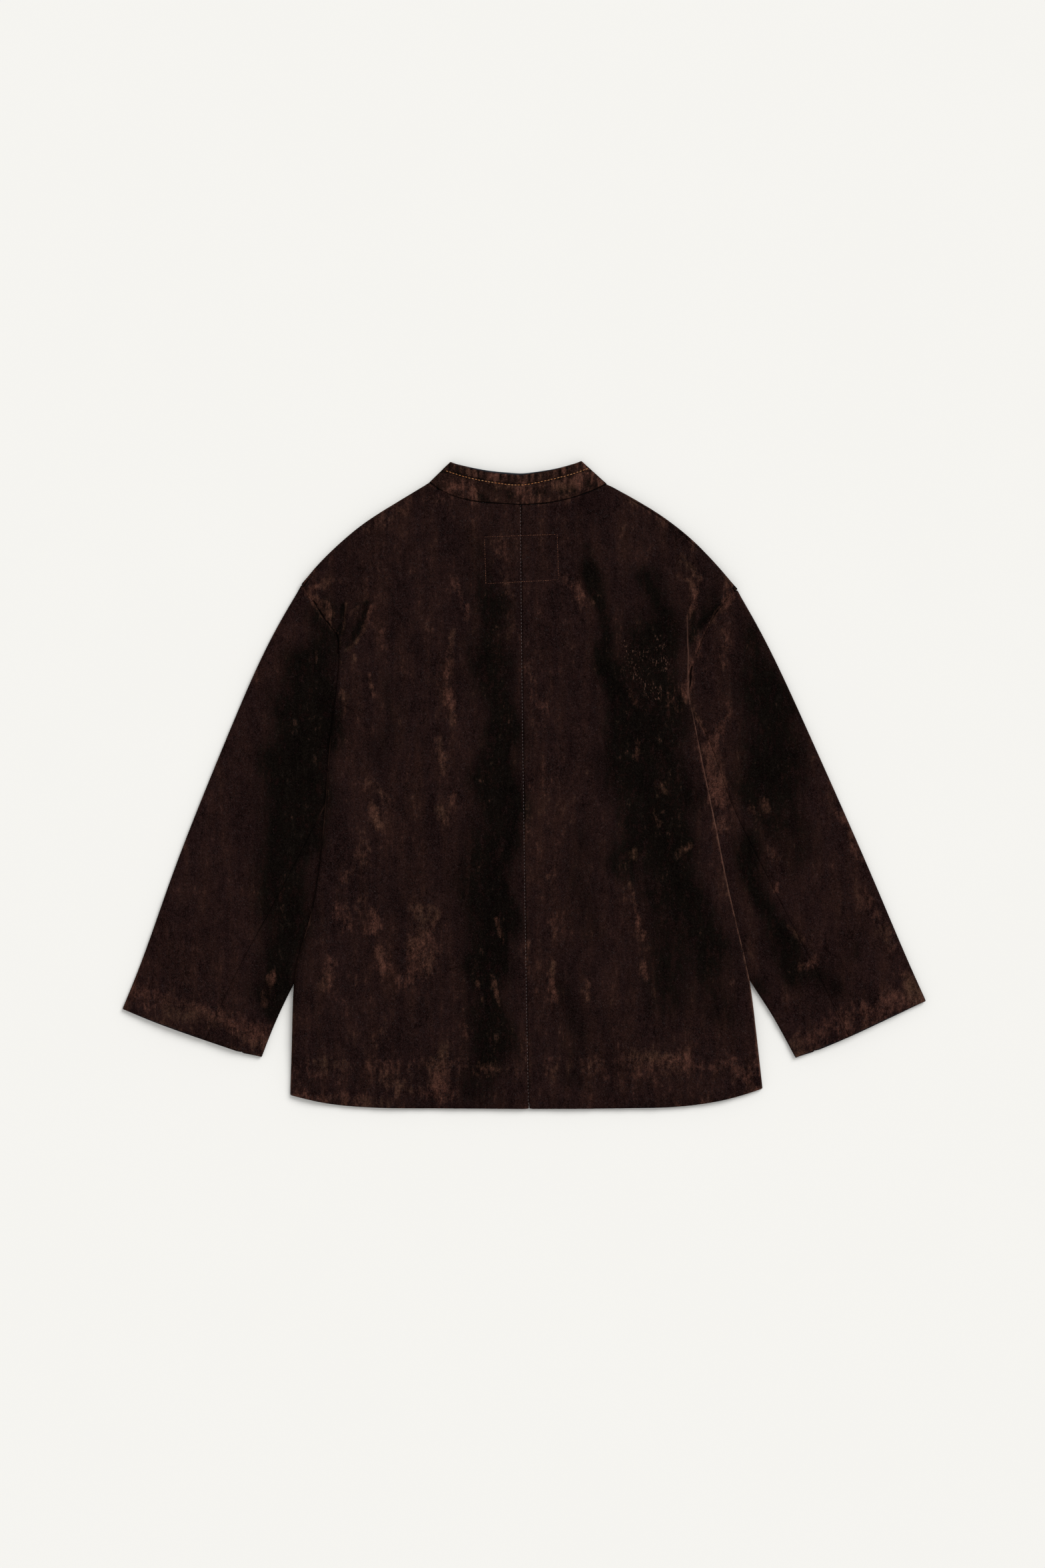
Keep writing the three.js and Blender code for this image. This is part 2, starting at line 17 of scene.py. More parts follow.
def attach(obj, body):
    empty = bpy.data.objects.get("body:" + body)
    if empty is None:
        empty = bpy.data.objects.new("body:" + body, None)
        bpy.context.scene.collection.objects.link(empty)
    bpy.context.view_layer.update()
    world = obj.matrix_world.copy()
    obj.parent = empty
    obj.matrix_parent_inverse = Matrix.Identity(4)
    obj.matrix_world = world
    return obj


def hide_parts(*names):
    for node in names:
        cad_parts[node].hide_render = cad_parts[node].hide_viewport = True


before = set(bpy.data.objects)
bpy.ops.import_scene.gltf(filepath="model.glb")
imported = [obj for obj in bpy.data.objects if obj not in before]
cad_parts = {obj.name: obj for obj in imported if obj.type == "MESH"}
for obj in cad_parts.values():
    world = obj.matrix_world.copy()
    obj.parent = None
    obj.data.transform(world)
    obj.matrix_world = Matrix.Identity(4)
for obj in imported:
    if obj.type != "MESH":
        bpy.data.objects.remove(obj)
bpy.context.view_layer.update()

bl_info = {
    "name": "Velvet Jacket Laid Flat",
    "version": (1, 0, 0),
    "blender": (4, 5, 0),
    "location": "View3D > Sidebar > Jacket",
    "description": "Dresses the packed jacket in creased velvet, with its stitching, on a pale floor",
    "category": "Object",
}

MM = 0.001
CLOTH = {}

# Soft creases: line from (x, y) to (x, y), half width, height. A height below zero is a trough.
BACK_CREASES = (
    (-205, 200, -207, 168, 4, -1.1), (-178, 210, -185, 178, 5.2, -1), (-185, 178, -198, 158, 5, -1),
    (-199, 204, -202, 172, 3.5, 0.7), (-172, 202, -180, 178, 4, 0.6),
    (-230, 227, -215, 192, 6, -0.5), (185, 242, 187, 192, 4.5, 0.9),
    (196, 212, 189, 141, 4.5, -0.9), (177, 208, 174, 141, 6.8, -0.5), (63, 253, 79, 193, 6.8, -0.6),
    (79, 238, 94, 141, 9, -0.8), (51, 227, 66, 189, 6, 0.5), (100, 141, 115, 36, 9.8, -0.8),
    (123, 66, 134, -32, 9, -0.7), (134, -32, 151, -107, 9, -0.6), (156, 118, 175, -2, 9, 0.5),
    (-18, 141, -26, -2, 9, -0.7), (-26, -2, -27, -167, 9, -0.8), (-29, -167, -35, -332, 9.8, -0.6),
    (-46, 103, -53, -92, 10.5, 0.5), (-69, 238, -76, 133, 7.5, 0.4), (-84, 163, -91, 73, 6.8, -0.4),
    (-117, 73, -131, -92, 12, -0.45), (-155, -92, -166, -242, 12, 0.4),
    (-177, -2, -183, -107, 9, -0.4), (14, 73, 18, -137, 9, 0.4), (40, -92, 49, -272, 9, -0.4),
    (78, -32, 93, -212, 10.5, 0.4), (160, -92, 194, -159, 7.5, -0.6),
    (201, -92, 220, -182, 7.5, 0.4), (-230, -309, -231, -354, 5.2, -0.3),
    (-181, -317, -180, -362, 6, -0.3), (-125, -313, -125, -362, 6, -0.3),
    (63, -309, 64, -360, 6, -0.3), (123, -306, 125, -358, 6, -0.3), (175, -302, 178, -354, 6, -0.3),
    (224, -298, 229, -343, 6, -0.3), (18, -306, 123, -303, 3, -0.4),
    (123, -303, 243, -297, 3, -0.4), (-252, -306, -12, -309, 3, -0.25),
    (-155, 306, -125, 268, 7.5, -0.4), (123, 309, 100, 268, 7.5, -0.4),
    (-102, 321, -87, 276, 6.8, -0.3),
)
SLEEVE_CREASES = (
    (-239, 201, -230, 141, 6.8, -0.8), (-230, 141, -231, 51, 8.2, -0.8),
    (-234, 51, -256, -32, 9.8, -0.8), (-256, -32, -249, -92, 7.5, -0.6),
    (-260, 163, -267, 73, 9, 0.6), (-275, 36, -301, -62, 10.5, 0.5),
    (-290, 103, -316, -2, 10.5, -0.4), (-327, -2, -357, -99, 12, 0.4),
    (-286, -92, -309, -197, 6.8, -0.6), (-252, -122, -273, -212, 6.8, -0.5),
    (-372, -137, -395, -212, 10.5, -0.35), (-335, -227, -339, -272, 5.2, -0.3),
    (-316, -242, -318, -291, 5.2, 0.3), (231, 186, 246, 118, 7.5, -0.8),
    (254, 111, 273, 36, 9.8, -0.8), (273, 36, 310, -54, 9.8, -0.7), (209, 66, 224, -2, 6, 0.8),
    (220, -32, 239, -92, 6, -0.5), (261, -32, 273, -62, 4.5, -0.4),
    (243, -54, 280, -137, 5.2, -0.6), (273, -77, 282, -137, 6, 0.4),
    (288, -129, 318, -212, 6.8, -0.6), (318, -182, 355, -264, 6.8, 0.35),
    (303, 88, 329, 13, 10.5, 0.5), (333, 13, 370, -77, 11.2, -0.4), (385, -129, 411, -189, 9, 0.4),
    (280, -257, 303, -294, 5.2, -0.3), (385, -234, 393, -272, 5.2, -0.3),
)
COLLAR_CREASES = (
    (-70, 352, -66, 341, 4, -0.3), (-20, 330, -14, 320, 6, -0.25), (35, 333, 44, 325, 6, -0.25),
    (-95, 345, -84, 331, 5, 0.3), (70, 350, 82, 338, 5, 0.3),
)

# Dark bands, pile lying away and painted shade of folds and of the body on the sleeves: line, half
# width, strength.
PILE_AND_SHADE_BANDS = (
    (-42, 262, -40, 203, 20, 0.35), (-40, 203, -37, 104, 23, 0.6), (-29, 150, -27, 74, 17, 0.7),
    (-25, 61, -20, -20, 20, 0.9), (-34, 23, -35, -89, 22, 0.9), (-15, -3, -16, -63, 11, 0.8),
    (-40, -96, -41, -204, 22, 0.95), (-23, -106, -20, -157, 13, 0.7),
    (-40, -209, -33, -286, 20, 0.95), (-49, -260, -50, -303, 19, 0.5),
    (-40, -303, -49, -342, 21, 0.6), (-30, -89, -33, -209, 16, 0.6),
    (-60, -60, -66, -170, 14, 0.35), (77, 235, 95, 126, 9, 0.9), (140, 239, 155, 186, 13, 0.8),
    (151, 171, 159, 104, 21, 0.9), (106, 126, 118, 21, 19, 0.85), (118, 44, 125, 6, 18, 1),
    (151, 59, 181, -16, 20, 0.7), (148, -8, 166, -72, 19, 1), (166, -68, 185, -128, 19, 1),
    (185, -128, 211, -203, 21, 0.8), (118, -38, 114, -91, 18, 0.65),
    (155, -120, 165, -233, 28, 0.65), (130, 60, 142, -60, 33, 0.8), (138, 170, 146, 60, 32, 0.65),
    (205, -190, 222, -260, 16, 0.5), (100, 110, 108, 20, 12, 0.6), (-232, 190, -214, 143, 16, 0.7),
    (-237, 138, -242, 74, 23, 0.85), (-263, 83, -267, 14, 27, 0.75), (-237, 80, -242, -20, 25, 1),
    (-257, 34, -272, -60, 28, 1), (-246, -25, -250, -72, 19, 0.95),
    (-272, -72, -289, -132, 18, 0.7), (-259, -89, -263, -153, 21, 0.85),
    (-272, -157, -276, -226, 23, 0.9), (-267, -209, -280, -252, 14, 0.8),
    (-224, 120, -220, 40, 10, 0.7), (-250, 130, -262, 90, 18, 0.5), (-190, 200, -196, 170, 9, 0.4),
    (256, 171, 279, 104, 17, 0.75), (264, 96, 275, 21, 28, 0.85), (290, 29, 294, -1, 17, 0.75),
    (256, -5, 271, -38, 21, 0.75), (249, -64, 262, -100, 14, 0.9), (264, -121, 283, -166, 15, 1),
    (294, -177, 309, -215, 13, 0.85), (331, -215, 354, -233, 12, 0.6),
    (369, -186, 370, -196, 7, 0.5), (268, -218, 269, -226, 9, 0.7), (198, 192, 212, 204, 11, 0.5),
    (193, 176, 190, 160, 7, 0.7), (280, 110, 306, 20, 24, 0.5), (290, -10, 312, -80, 20, 0.45),
    (-150, 120, -158, 40, 12, 0.25), (74, 261, 81, 201, 8, 0.6), (48, -232, 60, -332, 16, 0.35),
    (60, -60, 70, -170, 14, 0.3), (-72, 348, -64, 344, 7, 0.7), (-44, 340, -30, 336, 7, 0.65),
    (-56, 324, -46, 321, 6, 0.6), (-20, 331, -8, 329, 6, 0.5), (12, 331, 22, 329, 6, 0.65),
    (42, 328, 50, 327, 6, 0.6), (70, 334, 78, 333, 6, 0.65),
)

# Patches where the pile is crushed or worn to a lighter rust: line, half width, strength.
WORN_PATCHES = (
    (218, -4, 220, -20, 12, 1), (219, -44, 219, -50, 7, 0.95), (213, 24, 219, -12, 10, 0.85),
    (208, 36, 219, 59, 7, 0.8), (219, 59, 226, 76, 4, 0.6), (268, -16, 271, -27, 6, 0.75),
    (253, -25, 256, -30, 6, 0.55), (286, -110, 286, -116, 4, 0.7), (294, -158, 313, -177, 5, 0.6),
    (313, -203, 328, -200, 6, 0.65), (276, -70, 288, -84, 6, 0.4), (188, 226, 190, 200, 6, 0.5),
    (181, 254, 196, 235, 6, 0.5), (181, 108, 182, 96, 7, 0.6), (223, 196, 235, 213, 6, 0.35),
    (226, 178, 228, 130, 6, 0.4), (197, 160, 204, 120, 5, 0.4), (121, -72, 125, -80, 6, 0.85),
    (123, -110, 125, -166, 3, 0.8), (131, -163, 132, -170, 4, 0.9),
    (135, -199, 137, -212, 5.5, 0.95), (121, 104, 125, 96, 6, 0.65), (127, 50, 131, 30, 4, 0.8),
    (151, 3, 159, -5, 6, 0.65), (176, -74, 185, -70, 5, 0.6), (143, -24, 147, -40, 5, 0.5),
    (165, 96, 169, 84, 5, 0.4), (-171, 125, -170, 104, 3.2, 0.85), (-188, 145, -187, 141, 3.4, 0.6),
    (-205, 104, -201, 83, 3, 0.55), (-75, 228, -70, 185, 6, 0.55), (-79, 168, -83, 125, 5.5, 0.65),
    (-85, 104, -83, 70, 5.5, 0.65), (-94, 48, -87, 14, 6.5, 0.65), (-81, -14, -82, -19, 5, 0.65),
    (-100, -29, -92, -37, 7, 0.65), (-165, 1, -156, -12, 6, 0.55),
    (-169, -25, -167, -42, 7.5, 0.95), (-177, -72, -195, -102, 10, 0.4),
    (-214, -145, -214, -153, 11, 0.5), (-171, -140, -169, -162, 5, 0.95),
    (-178, -157, -176, -160, 6, 0.5), (-165, -183, -158, -205, 6.5, 0.75),
    (-214, -200, -220, -226, 8, 0.65), (-117, -145, -113, -166, 13, 0.65),
    (-122, -179, -109, -209, 14, 0.7), (-135, -214, -134, -220, 8, 0.5),
    (-100, -146, -100, -152, 5, 0.6), (-186, -220, -185, -226, 7, 0.5),
    (-200, -150, -180, -125, 14, 0.3), (-32, -149, -25, -175, 3.4, 0.85),
    (-49, -222, -47, -243, 3, 0.85), (-30, -222, -27, -243, 3.4, 0.85), (9, 4, 10, -1, 3, 0.7),
    (33, -200, 37, -243, 3.4, 0.95), (30, -153, 33, -170, 3, 0.6), (73, -222, 73, -243, 3.2, 0.65),
    (28, -96, 29, -108, 6, 0.35), (3, -174, 6, -212, 3.4, 0.5), (-235, 211, -222, 188, 7, 0.35),
    (-230, 222, -205, 228, 6, 0.4), (-234, 147, -233, 134, 3.4, 0.6),
    (-190, 200, -194, 185, 5, 0.35), (-27, 276, -20, 216, 6.8, 0.35),
    (-229, -318, -226, -322, 9, 0.5), (-152, -316, -150, -324, 10, 0.6),
    (-92, -307, -92, -342, 14, 0.6), (-160, -274, -158, -282, 10, 0.4),
    (-49, -316, -48, -324, 9, 0.5), (-66, -274, -65, -282, 8, 0.4),
    (-252, -317, -12, -317, 12, 0.3), (18, -317, 258, -317, 12, 0.35),
    (-252, -351, -155, -354, 7.5, 0.5), (-155, -336, -87, -351, 9, 0.5),
    (123, -302, 183, -309, 7.5, 0.7), (243, -324, 265, -341, 6.8, 0.6),
    (-432, -232, -372, -257, 14, 0.6), (-350, -262, -297, -283, 15, 0.65),
    (-305, -276, -300, -282, 9, 0.9), (-290, -242, -281, -212, 7, 0.7),
    (310, -289, 362, -266, 15, 0.6), (385, -256, 445, -230, 14, 0.7),
    (430, -212, 447, -243, 6.8, 0.9), (48, 231, 63, 208, 11.2, 0.5), (3, 141, 18, 73, 7.5, 0.3),
    (348, -32, 385, -92, 6, 0.4), (385, -129, 415, -182, 8.2, 0.5), (168, 336, 123, 321, 7.5, 0.35),
    (-140, 313, -177, 291, 9, 0.4), (-57, 343, 63, 336, 10.5, 0.3), (228, 268, 235, 223, 7.5, 0.4),
    (-90, 336, -60, 328, 7, 0.75), (0, 325, 12, 322, 7, 0.7), (36, 336, 60, 342, 6, 0.65),
    (78, 344, 88, 340, 6, 0.65), (-105, 322, -95, 318, 8, 0.5),
)

# Painted shadows of the folds at the armholes, and their light ridges, wear with painted highlight:
# line, half width, strength.
FOLD_SHADOWS = (
    (-204, 201, -206.5, 170, 3.6, 1), (-177, 205, -184, 180, 4.5, 0.9),
    (-184, 180, -197, 158, 4, 0.9), (198, 179, 217, 201, 4, 1), (188, 196, 191, 168, 3, 0.6),
    (-212, 170, -207, 156, 4, 0.8),
)
FOLD_WEAR_AND_HIGHLIGHTS = (
    (-200.5, 204, -203, 182, 2.6, 0.8), (-203, 182, -207, 152, 2.4, 0.7),
    (-171.5, 202, -178.5, 180, 2.8, 0.75), (-178.5, 180, -187, 163, 2.6, 0.75),
    (-187, 163, -199, 151, 2.6, 0.65), (-248, 220, -237, 203, 3, 0.9),
    (-241, 219, -224, 228, 3, 0.75), (-234, 210, -230, 202, 3.5, 0.8),
    (-225, 197, -222, 190, 3.5, 0.75), (185, 229, 193, 216, 2.8, 0.95),
    (193, 216, 187, 198, 2.6, 0.95), (187, 198, 183.5, 186, 2.4, 0.85),
    (181, 254, 198, 231, 3.4, 0.5), (198, 231, 195, 216, 3, 0.5), (238, 211, 221, 196, 2.8, 0.85),
    (219, 199, 211, 184, 2.6, 0.6), (-207, 138, -204, 128, 3, 0.6),
)

# Where the small bleached flecks are scattered: line, half width, strength.
FLECKED_PATCHES = (
    (112, 158, 152, 140, 20, 0.95), (122, 130, 150, 100, 18, 1), (150, 172, 162, 132, 12, 0.9),
    (100, 110, 112, 70, 12, 0.85), (128, 60, 138, 20, 12, 0.8),
)

# Where a seam or free edge shows a light line, worn and with painted sheen: line, half width,
# strength.
WORN_AND_SHEEN_EDGES = (
    (187, 120, 215, -45, 14, 1), (215, -45, 268, -341, 16, 0.9), (-263, -348, -240, -149, 12, 0.5),
    (-249, 225, -138, 321, 12, 0.5), (239, 220, 125, 321, 12, 0.5),
    (-432, -204, -452, -252, 10, 0.6), (452, -243, 305, -306, 10, 0.6),
    (-452, -252, -295, -306, 10, 0.5), (268, -341, 180, -361, 12, 0.5),
    (-263, -348, -90, -363, 12, 0.4), (-273, 186, -390, -84, 10, 0.35),
    (259, 186, 384, -84, 10, 0.3), (-249, 225, -210, 170, 8, 0.7), (239, 220, 206, 176, 8, 0.8),
    (206, 176, 187, 128, 8, 0.5), (-107, 338, -55, 318, 8, 0.4), (22, 316, 93, 338, 8, 0.5),
)

# Where an edge shows a thin bright line, rubbed and with painted sheen: line, half width, strength.
RUBBED_AND_SHEEN_EDGES = (
    (187, 112, 184, 96, 6, 0.8), (184, 96, 215, -45, 6, 1), (215, -45, 253, -218, 8, 0.95),
    (253, -218, 268, -341, 8, 0.7), (-240, -149, -263, -348, 7, 0.35),
    (-226, -54, -218, 48, 6, 0.25), (64, 363, 38, 355, 4, 0.5), (-84, 362, -65, 357, 4, 0.5),
)

# Seams that sink deeper than the rest: line, half width, strength.
DEEP_SEAMS = (
    (-249, 225, -208, 168, 6, 1), (239, 220, 206, 176, 6, 1), (206, 176, 187, 128, 6, 1),
    (-107, 340, -55, 318, 5, 1), (-55, 318, 22, 316, 5, 1), (22, 316, 93, 338, 5, 1),
)

# Where a seam runs out at a cuff or the hem, and the reverse doesn't show.
HEM_SEAM_ENDS = (
    (-354, -276, -359, -290, 5, 1), (360, -272, 367, -288, 5, 1), (5, -350, 6, -366, 5, 1),
)

# Free edges where the blue-grey reverse of the cloth shows: line, half width, strength.
REVERSE_EDGES = (
    (-75, 360, -2, 348, 5, 0.9), (-452, -252, -358, -286, 5, 0.6), (305, -306, 452, -243, 5, 0.8),
    (-263, -348, -169, -363, 4, 0.4), (101, -363, 234, -352, 4, 0.5),
)

# Gentle waves that keep the cloth from lying flat: length, direction in degrees, phase, height.
RIPPLES = (
    (74, 8, 0.4, 0.22), (53, -27, 2.1, 0.18), (41, 64, 4.0, 0.14), (33, 17, 1.2, 0.12),
    (27, -58, 5.2, 0.08), (97, 81, 3.3, 0.2), (21, 38, 0.9, 0.06), (17, -12, 2.7, 0.05),
)

# Short waves beside the seams, in the same way.
SEAM_PUCKERS = (
    (13, 88, 0.3, 0.5), (17, 62, 1.9, 0.4), (11, 12, 4.4, 0.4), (15, -35, 3.0, 0.4),
)

# The body's side edges, as x at each y. The sleeves lie flat under the body inside them.
LEFT_EDGE = (
    (-348, -263), (-284, -261), (-218, -258.5), (-192, -254), (-149, -240), (-54, -226),
    (48, -218), (117, -209), (131, -205.5), (168, -208), (186, -224), (204, -235), (225, -249.4),
)
RIGHT_EDGE = (
    (-341, 268), (-271, 260), (-218, 253), (-170, 242), (-112, 228.4), (-45, 215), (45, 196),
    (93, 186.5), (128, 187), (154, 196), (176, 206), (195, 216), (220, 238.9),
)

# The collar's top edge, then the rows of stitches below it on the back and on the two fronts.
COLLAR_TOP = (
    (-84, 362.6), (-65, 357.4), (-40, 352.1), (-2.6, 348.4), (20, 351.6), (38, 355.1), (65, 363.6),
)
COLLAR_STITCH_LINE = (
    (-88, 352.9), (-63.4, 345.4), (-31.9, 339.4), (-2.6, 337.1), (29.6, 343.1), (52.9, 349.1),
    (73.1, 355.9),
)
COLLAR_FRONT_STITCH_LINES = (
    ((-8, 255), (-33, 273), (-60, 312), (-88, 351)),
    ((1, 255), (25, 273), (49, 312), (71, 352)),
)

# Ends of the armhole seams, where the cloth closes up more: line, half width, strength. The groove
# of a seam grows lighter again at the shoulder tips.
SHOULDER_TIPS = ((238, 219, 228, 204, 6, 1), (-249, 225, -238, 208, 6, 1))
ARMHOLE_ENDS = (*SHOULDER_TIPS, (-211, 163, -206, 151, 5, 1), (192, 140, 185, 112, 5, 1))

# The fold beside the right armhole that shows a light line, worn and with painted sheen, and how it
# leans.
FOLD_TOP = (184.0, 194)
FOLD_FOOT = (183.2, 98)
FOLD_LEAN = (FOLD_TOP[0] - FOLD_FOOT[0]) / (FOLD_TOP[1] - FOLD_FOOT[1])

# The centre-back seam, and the corners of the stitched rectangle.
CENTRE_SEAM_LINE = ((-3.4, 312), (-2, 150), (-0.4, 21), (2.6, -192), (5.6, -361))
STITCHED_RECTANGLE = ((-44.6, 278.6), (37.1, 281.6), (38.6, 230.6), (-43.1, 226.1))

# Heights between which the lower layer ends and the upper one begins, and how far a crease may go
# into the air between them.
LAYER_SPLIT_LOW = 2.2 * MM
LAYER_SPLIT_HIGH = 4.2 * MM
AIR_BELOW = 0.5 * MM

# How a rim is found: angles in radians that join and hold edges, how firm it stays when smoothed,
# the step between its points, and how much farther a point on the other layer counts as away.
JOINING_ANGLE = 0.6
FIRM_ANGLE = 0.9
RIM_CREASE = 0.7
RIM_STEP = 0.5 * MM
LAYER_APART = 3.0

# How upright a normal is where a rim is seen, where a rim moves outwards, and on the outer face.
RIM_TILT = 0.6
CLOSING_TILT = 0.85
OUTER_TILT = 0.5

# How far a rim reaches outwards to close its seam, and how many times more at an armhole's ends.
SEAM_CLOSING = 0.18 * MM
CLOSING_AT_ENDS = 3.0

# How much lighter the groove is at a shoulder tip, and how near to the tip that stays.
TIP_LIGHTER = 0.8
TIP_NEARNESS = 6

# How far the strokes of a table wander from their lines, in millimetres.
CREASE_WANDER = 1.5
PATCH_WANDER = 2.5
BAND_WANDER = 5.0
FOLD_WANDER = 0.6
FLECK_WANDER = 1.0

# Widths in millimetres: the rolled edge, what a deep seam adds to it, the gathers beside a seam,
# the worn rim with its painted sheen, the reverse that shows, the reach of the rim mark, and how soon
# a sleeve's creases end under the body.
ROLL_WIDTH = 1.8
DEEP_ROLL_WIDTH = 0.8
GATHERED_WIDTH = 6.0
WORN_SHEEN_RIM_WIDTH = 3.2
REVERSE_WIDTH = 0.8
RIM_REACH = 10.0
SLEEVE_FADE = 12.0

# Share of the creases that the hidden side takes.
HIDDEN_CREASES = 0.35

# The collar's gathers, in millimetres: their spacing, where they end below the top edge, then the
# place, width and height of the rolled edge and of the dent along the stitches.
GATHER_SPACING = 8.2
GATHERS_END = 10.5
COLLAR_ROLL = (5.0, 3.5, 0.35)
STITCH_DENT = (11.0, 1.4, 0.55)

# How much darker the collar's troughs are, as painted shade, how much lighter its ridges are, as wear
# with painted highlight, and how much more worn all of it is.
TROUGH_SHADE = 1.3
RIDGE_WEAR_AND_HIGHLIGHT = 0.9
COLLAR_WEAR = 0.08

# Where stitches are laid from: a height in metres, the way to the cloth, and how proud they lie, as
# a share of the thread.
LAID_FROM_ABOVE = (0.05, -1.0, 0.2)
LAID_FROM_BELOW = (-0.02, 1.0, -0.42)

# How far a stitch strays aside, and how far beside the centre seam its thread runs, in millimetres.
STITCH_SWAY = 0.12
SEAM_THREAD_ASIDE = 0.9

# How much the lengths of stitches differ, the rectangle's gap as a share of the seam's, and how
# many points a drawn line has from one corner to the next.
STITCH_UNEVEN = 0.08
RECTANGLE_GAP = 0.3
CURVE_STEPS = 60

# Noises in the velvet: turn in degrees, size of a patch in millimetres, detail, roughness.
PILE_NOISES = {
    "cloud": (0, (80, 80, 80), 2.0, 0.5),
    "blotch": (0, (19, 27, 22), 4.0, 0.65),
    "fleece": (0, (6, 9.5, 8), 4.0, 0.7),
    "streak": (0, (3.4, 19, 9), 4.0, 0.68),
    "crush": (0, (1.7, 3.4, 2.6), 3.0, 0.7),
    "mottle": (0, (7, 22, 12), 5.0, 0.66),
    "drift": (0, (13, 85, 40), 3.0, 0.6),
    "olive": (0, (46, 46, 46), 1.0, 0.5),
    "spots": (0, (1.2, 3.6, 2), 1.0, 0.5),
    "grain": (24, (0.62, 1.7, 1), 2.0, 0.6),
    "fibre": (-38, (0.5, 3.6, 1), 1.0, 0.5),
    "hair": (61, (0.45, 4.6, 1), 1.0, 0.5),
}

# How much each noise counts in what it changes: a start, then the weight of each.
PILE_MIXES = {
    "tone": (1.0, {
        "cloud": 0.7, "blotch": 1.1, "fleece": 1.4, "streak": 0.8, "drift": 0.7, "crush": 1.6,
    }),
    "dark_tone": (1.0, {"mottle": 2.0, "fleece": 1.5}),
    "broken": (0.0, {"mottle": 2.8, "fleece": 3.6, "blotch": 0.8, "crush": 2.2}),
    "wear": (0.0, {"blotch": 1.4, "fleece": 1.7, "streak": 1.3, "drift": 0.9}),
    "wear_in_shade": (-0.16, {"mottle": 1.0, "fleece": 0.8}),
    "worn_pile": (0.5, {"crush": 0.9, "fleece": 1.0}),
    "olive": (0.25, {"olive": 3.0}),
    "warm": (0.32, {"drift": 2.8, "blotch": 1.6}),
    "flecks": (0.5, {"spots": 1.0, "fleece": 0.9}),
    "rubbed_and_sheen": (0.68, {"fleece": 2.8, "drift": 3.0}),
    "fold_place": (0.0, {"blotch": 2.6, "cloud": 6.0}),
    "fold": (0.5, {"mottle": 1.6}),
    "relief": (0.0, {"crush": 0.6, "grain": 0.5, "fleece": 0.8, "fibre": 0.25}),
    "roughness": (0.85, {"crush": 0.4}),
}

# How strong the fine grain is, and the darkest that it, the pile and the dark pile may get.
GRAIN_STRENGTH = 4.4
GRAIN_DARKEST = -0.34
TONE_DARKEST = 0.3
DARK_TONE_DARKEST = 0.4

# The dark bands, pile lying away and painted shade: gain and start, how broken they are outside and
# inside, the shares of an even and a broken band, and the most that they cover.
BAND_GAIN = 1.24
BAND_START = 0.08
BROKEN_OUTSIDE = 0.2
BROKEN_INSIDE = 1.4
EVEN_BAND = 0.36
BROKEN_BAND = 0.74
BAND_COVER = 0.97

# The worn patches: gain and start of a patch, and how steeply its edge rises.
WORN_GAIN = 1.15
WORN_START = 0.26
WORN_STEEPNESS = 1.1

# Flecks and lint: where they start, how steeply they rise, and how much they cover.
FLECKS = (0.60, 9.0, 0.8)
LINT = {"fibre": (0.13, 7.0, 0.34), "hair": (0.18, 8.0, 0.45)}
LINT_LOST_IN_SHADE = 0.65

# The light fold: how sharp it is across, and how fast it fades in at its foot and at its top.
FOLD_SHARPNESS = 1.3
FOLD_FOOT_FADE = 0.2
FOLD_TOP_FADE = 0.06

# Seams and rubbed edges: how dark the painted shadow of a seam is at its rim, what a deep one adds at
# the rim and all through, how much it covers, then the gain and the width of a rubbed edge's light
# line, which is wear with painted sheen.
SEAM_AT_RIM = 0.75
DEEP_AT_RIM = 0.5
DEEP_THROUGH = 0.8
SEAM_COVER = 0.92
RUBBED_SHEEN_GAIN = 1.1
RUBBED_SHEEN_WIDTH = 0.25

# The cotton: size of a yarn either way in millimetres, and its contrast from yarn to yarn and from
# patch to patch.
WEFT_SIZE = (0.5, 3.0, 1.0)
WARP_SIZE = (3.0, 0.5, 1.0)
YARN_CONTRAST = 0.9
COTTON_PATCHES = 0.8

# The thread: how sharply it changes from stitch to stitch, and its darkest and its contrast in a ply.
THREAD_CHANGE = 3.2
PLY_DARKEST = 0.75
PLY_CONTRAST = 0.5

# The floor: its half size and how far it lies under the jacket, in metres, and its contrast.
FLOOR_HALF_SIZE = 40.0
FLOOR_CLEARANCE = 0.3 * MM
FLOOR_CONTRAST = 0.01

# The light's place, the camera's place beside the origin, and half the height that it sees, in
# metres. Then the width of its sensor in millimetres, and the colour of the light from all round.
KEY_PLACE = (1.5, 1.7, 2.0)
CAMERA_PLACE = (-0.0019, 0.0011)
VIEW_HALF_HEIGHT = 0.882
SENSOR_WIDTH = 36.0
WORLD_COLOUR = (1.0, 0.995, 0.985, 1.0)


def smooth_step(value):
    """Zero below 0, one above 1, and an even S between them."""
    value = np.clip(value, 0.0, 1.0)
    return value * value * (3.0 - 2.0 * value)


def fall_off(away, width):
    """One at zero, falling to nothing over about two widths."""
    return np.exp(-((away / width) ** 2))


def stroke_falls(x, y, table, wander):
    """How strongly each stroke of a table covers each point, and the stroke's own strength."""
    x = x + wander * (np.sin(y / 19.0 + 0.7) + 0.6 * np.sin((x + y) / 11.0))
    y = y + wander * np.sin(x / 23.0 + 1.9)
    for x1, y1, x2, y2, width, strength in table:
        across, up = x2 - x1, y2 - y1
        share = ((x - x1) * across + (y - y1) * up) / (across * across + up * up)
        share = np.clip(share, 0.0, 1.0)
        away = np.hypot(x - x1 - share * across, y - y1 - share * up)
        yield fall_off(away, width), strength


def creased(x, y, table):
    """Height that a table of creases adds at each point, in millimetres."""
    height = np.zeros_like(x)
    for fall, strength in stroke_falls(x, y, table, CREASE_WANDER):
        height += fall * strength
    return height


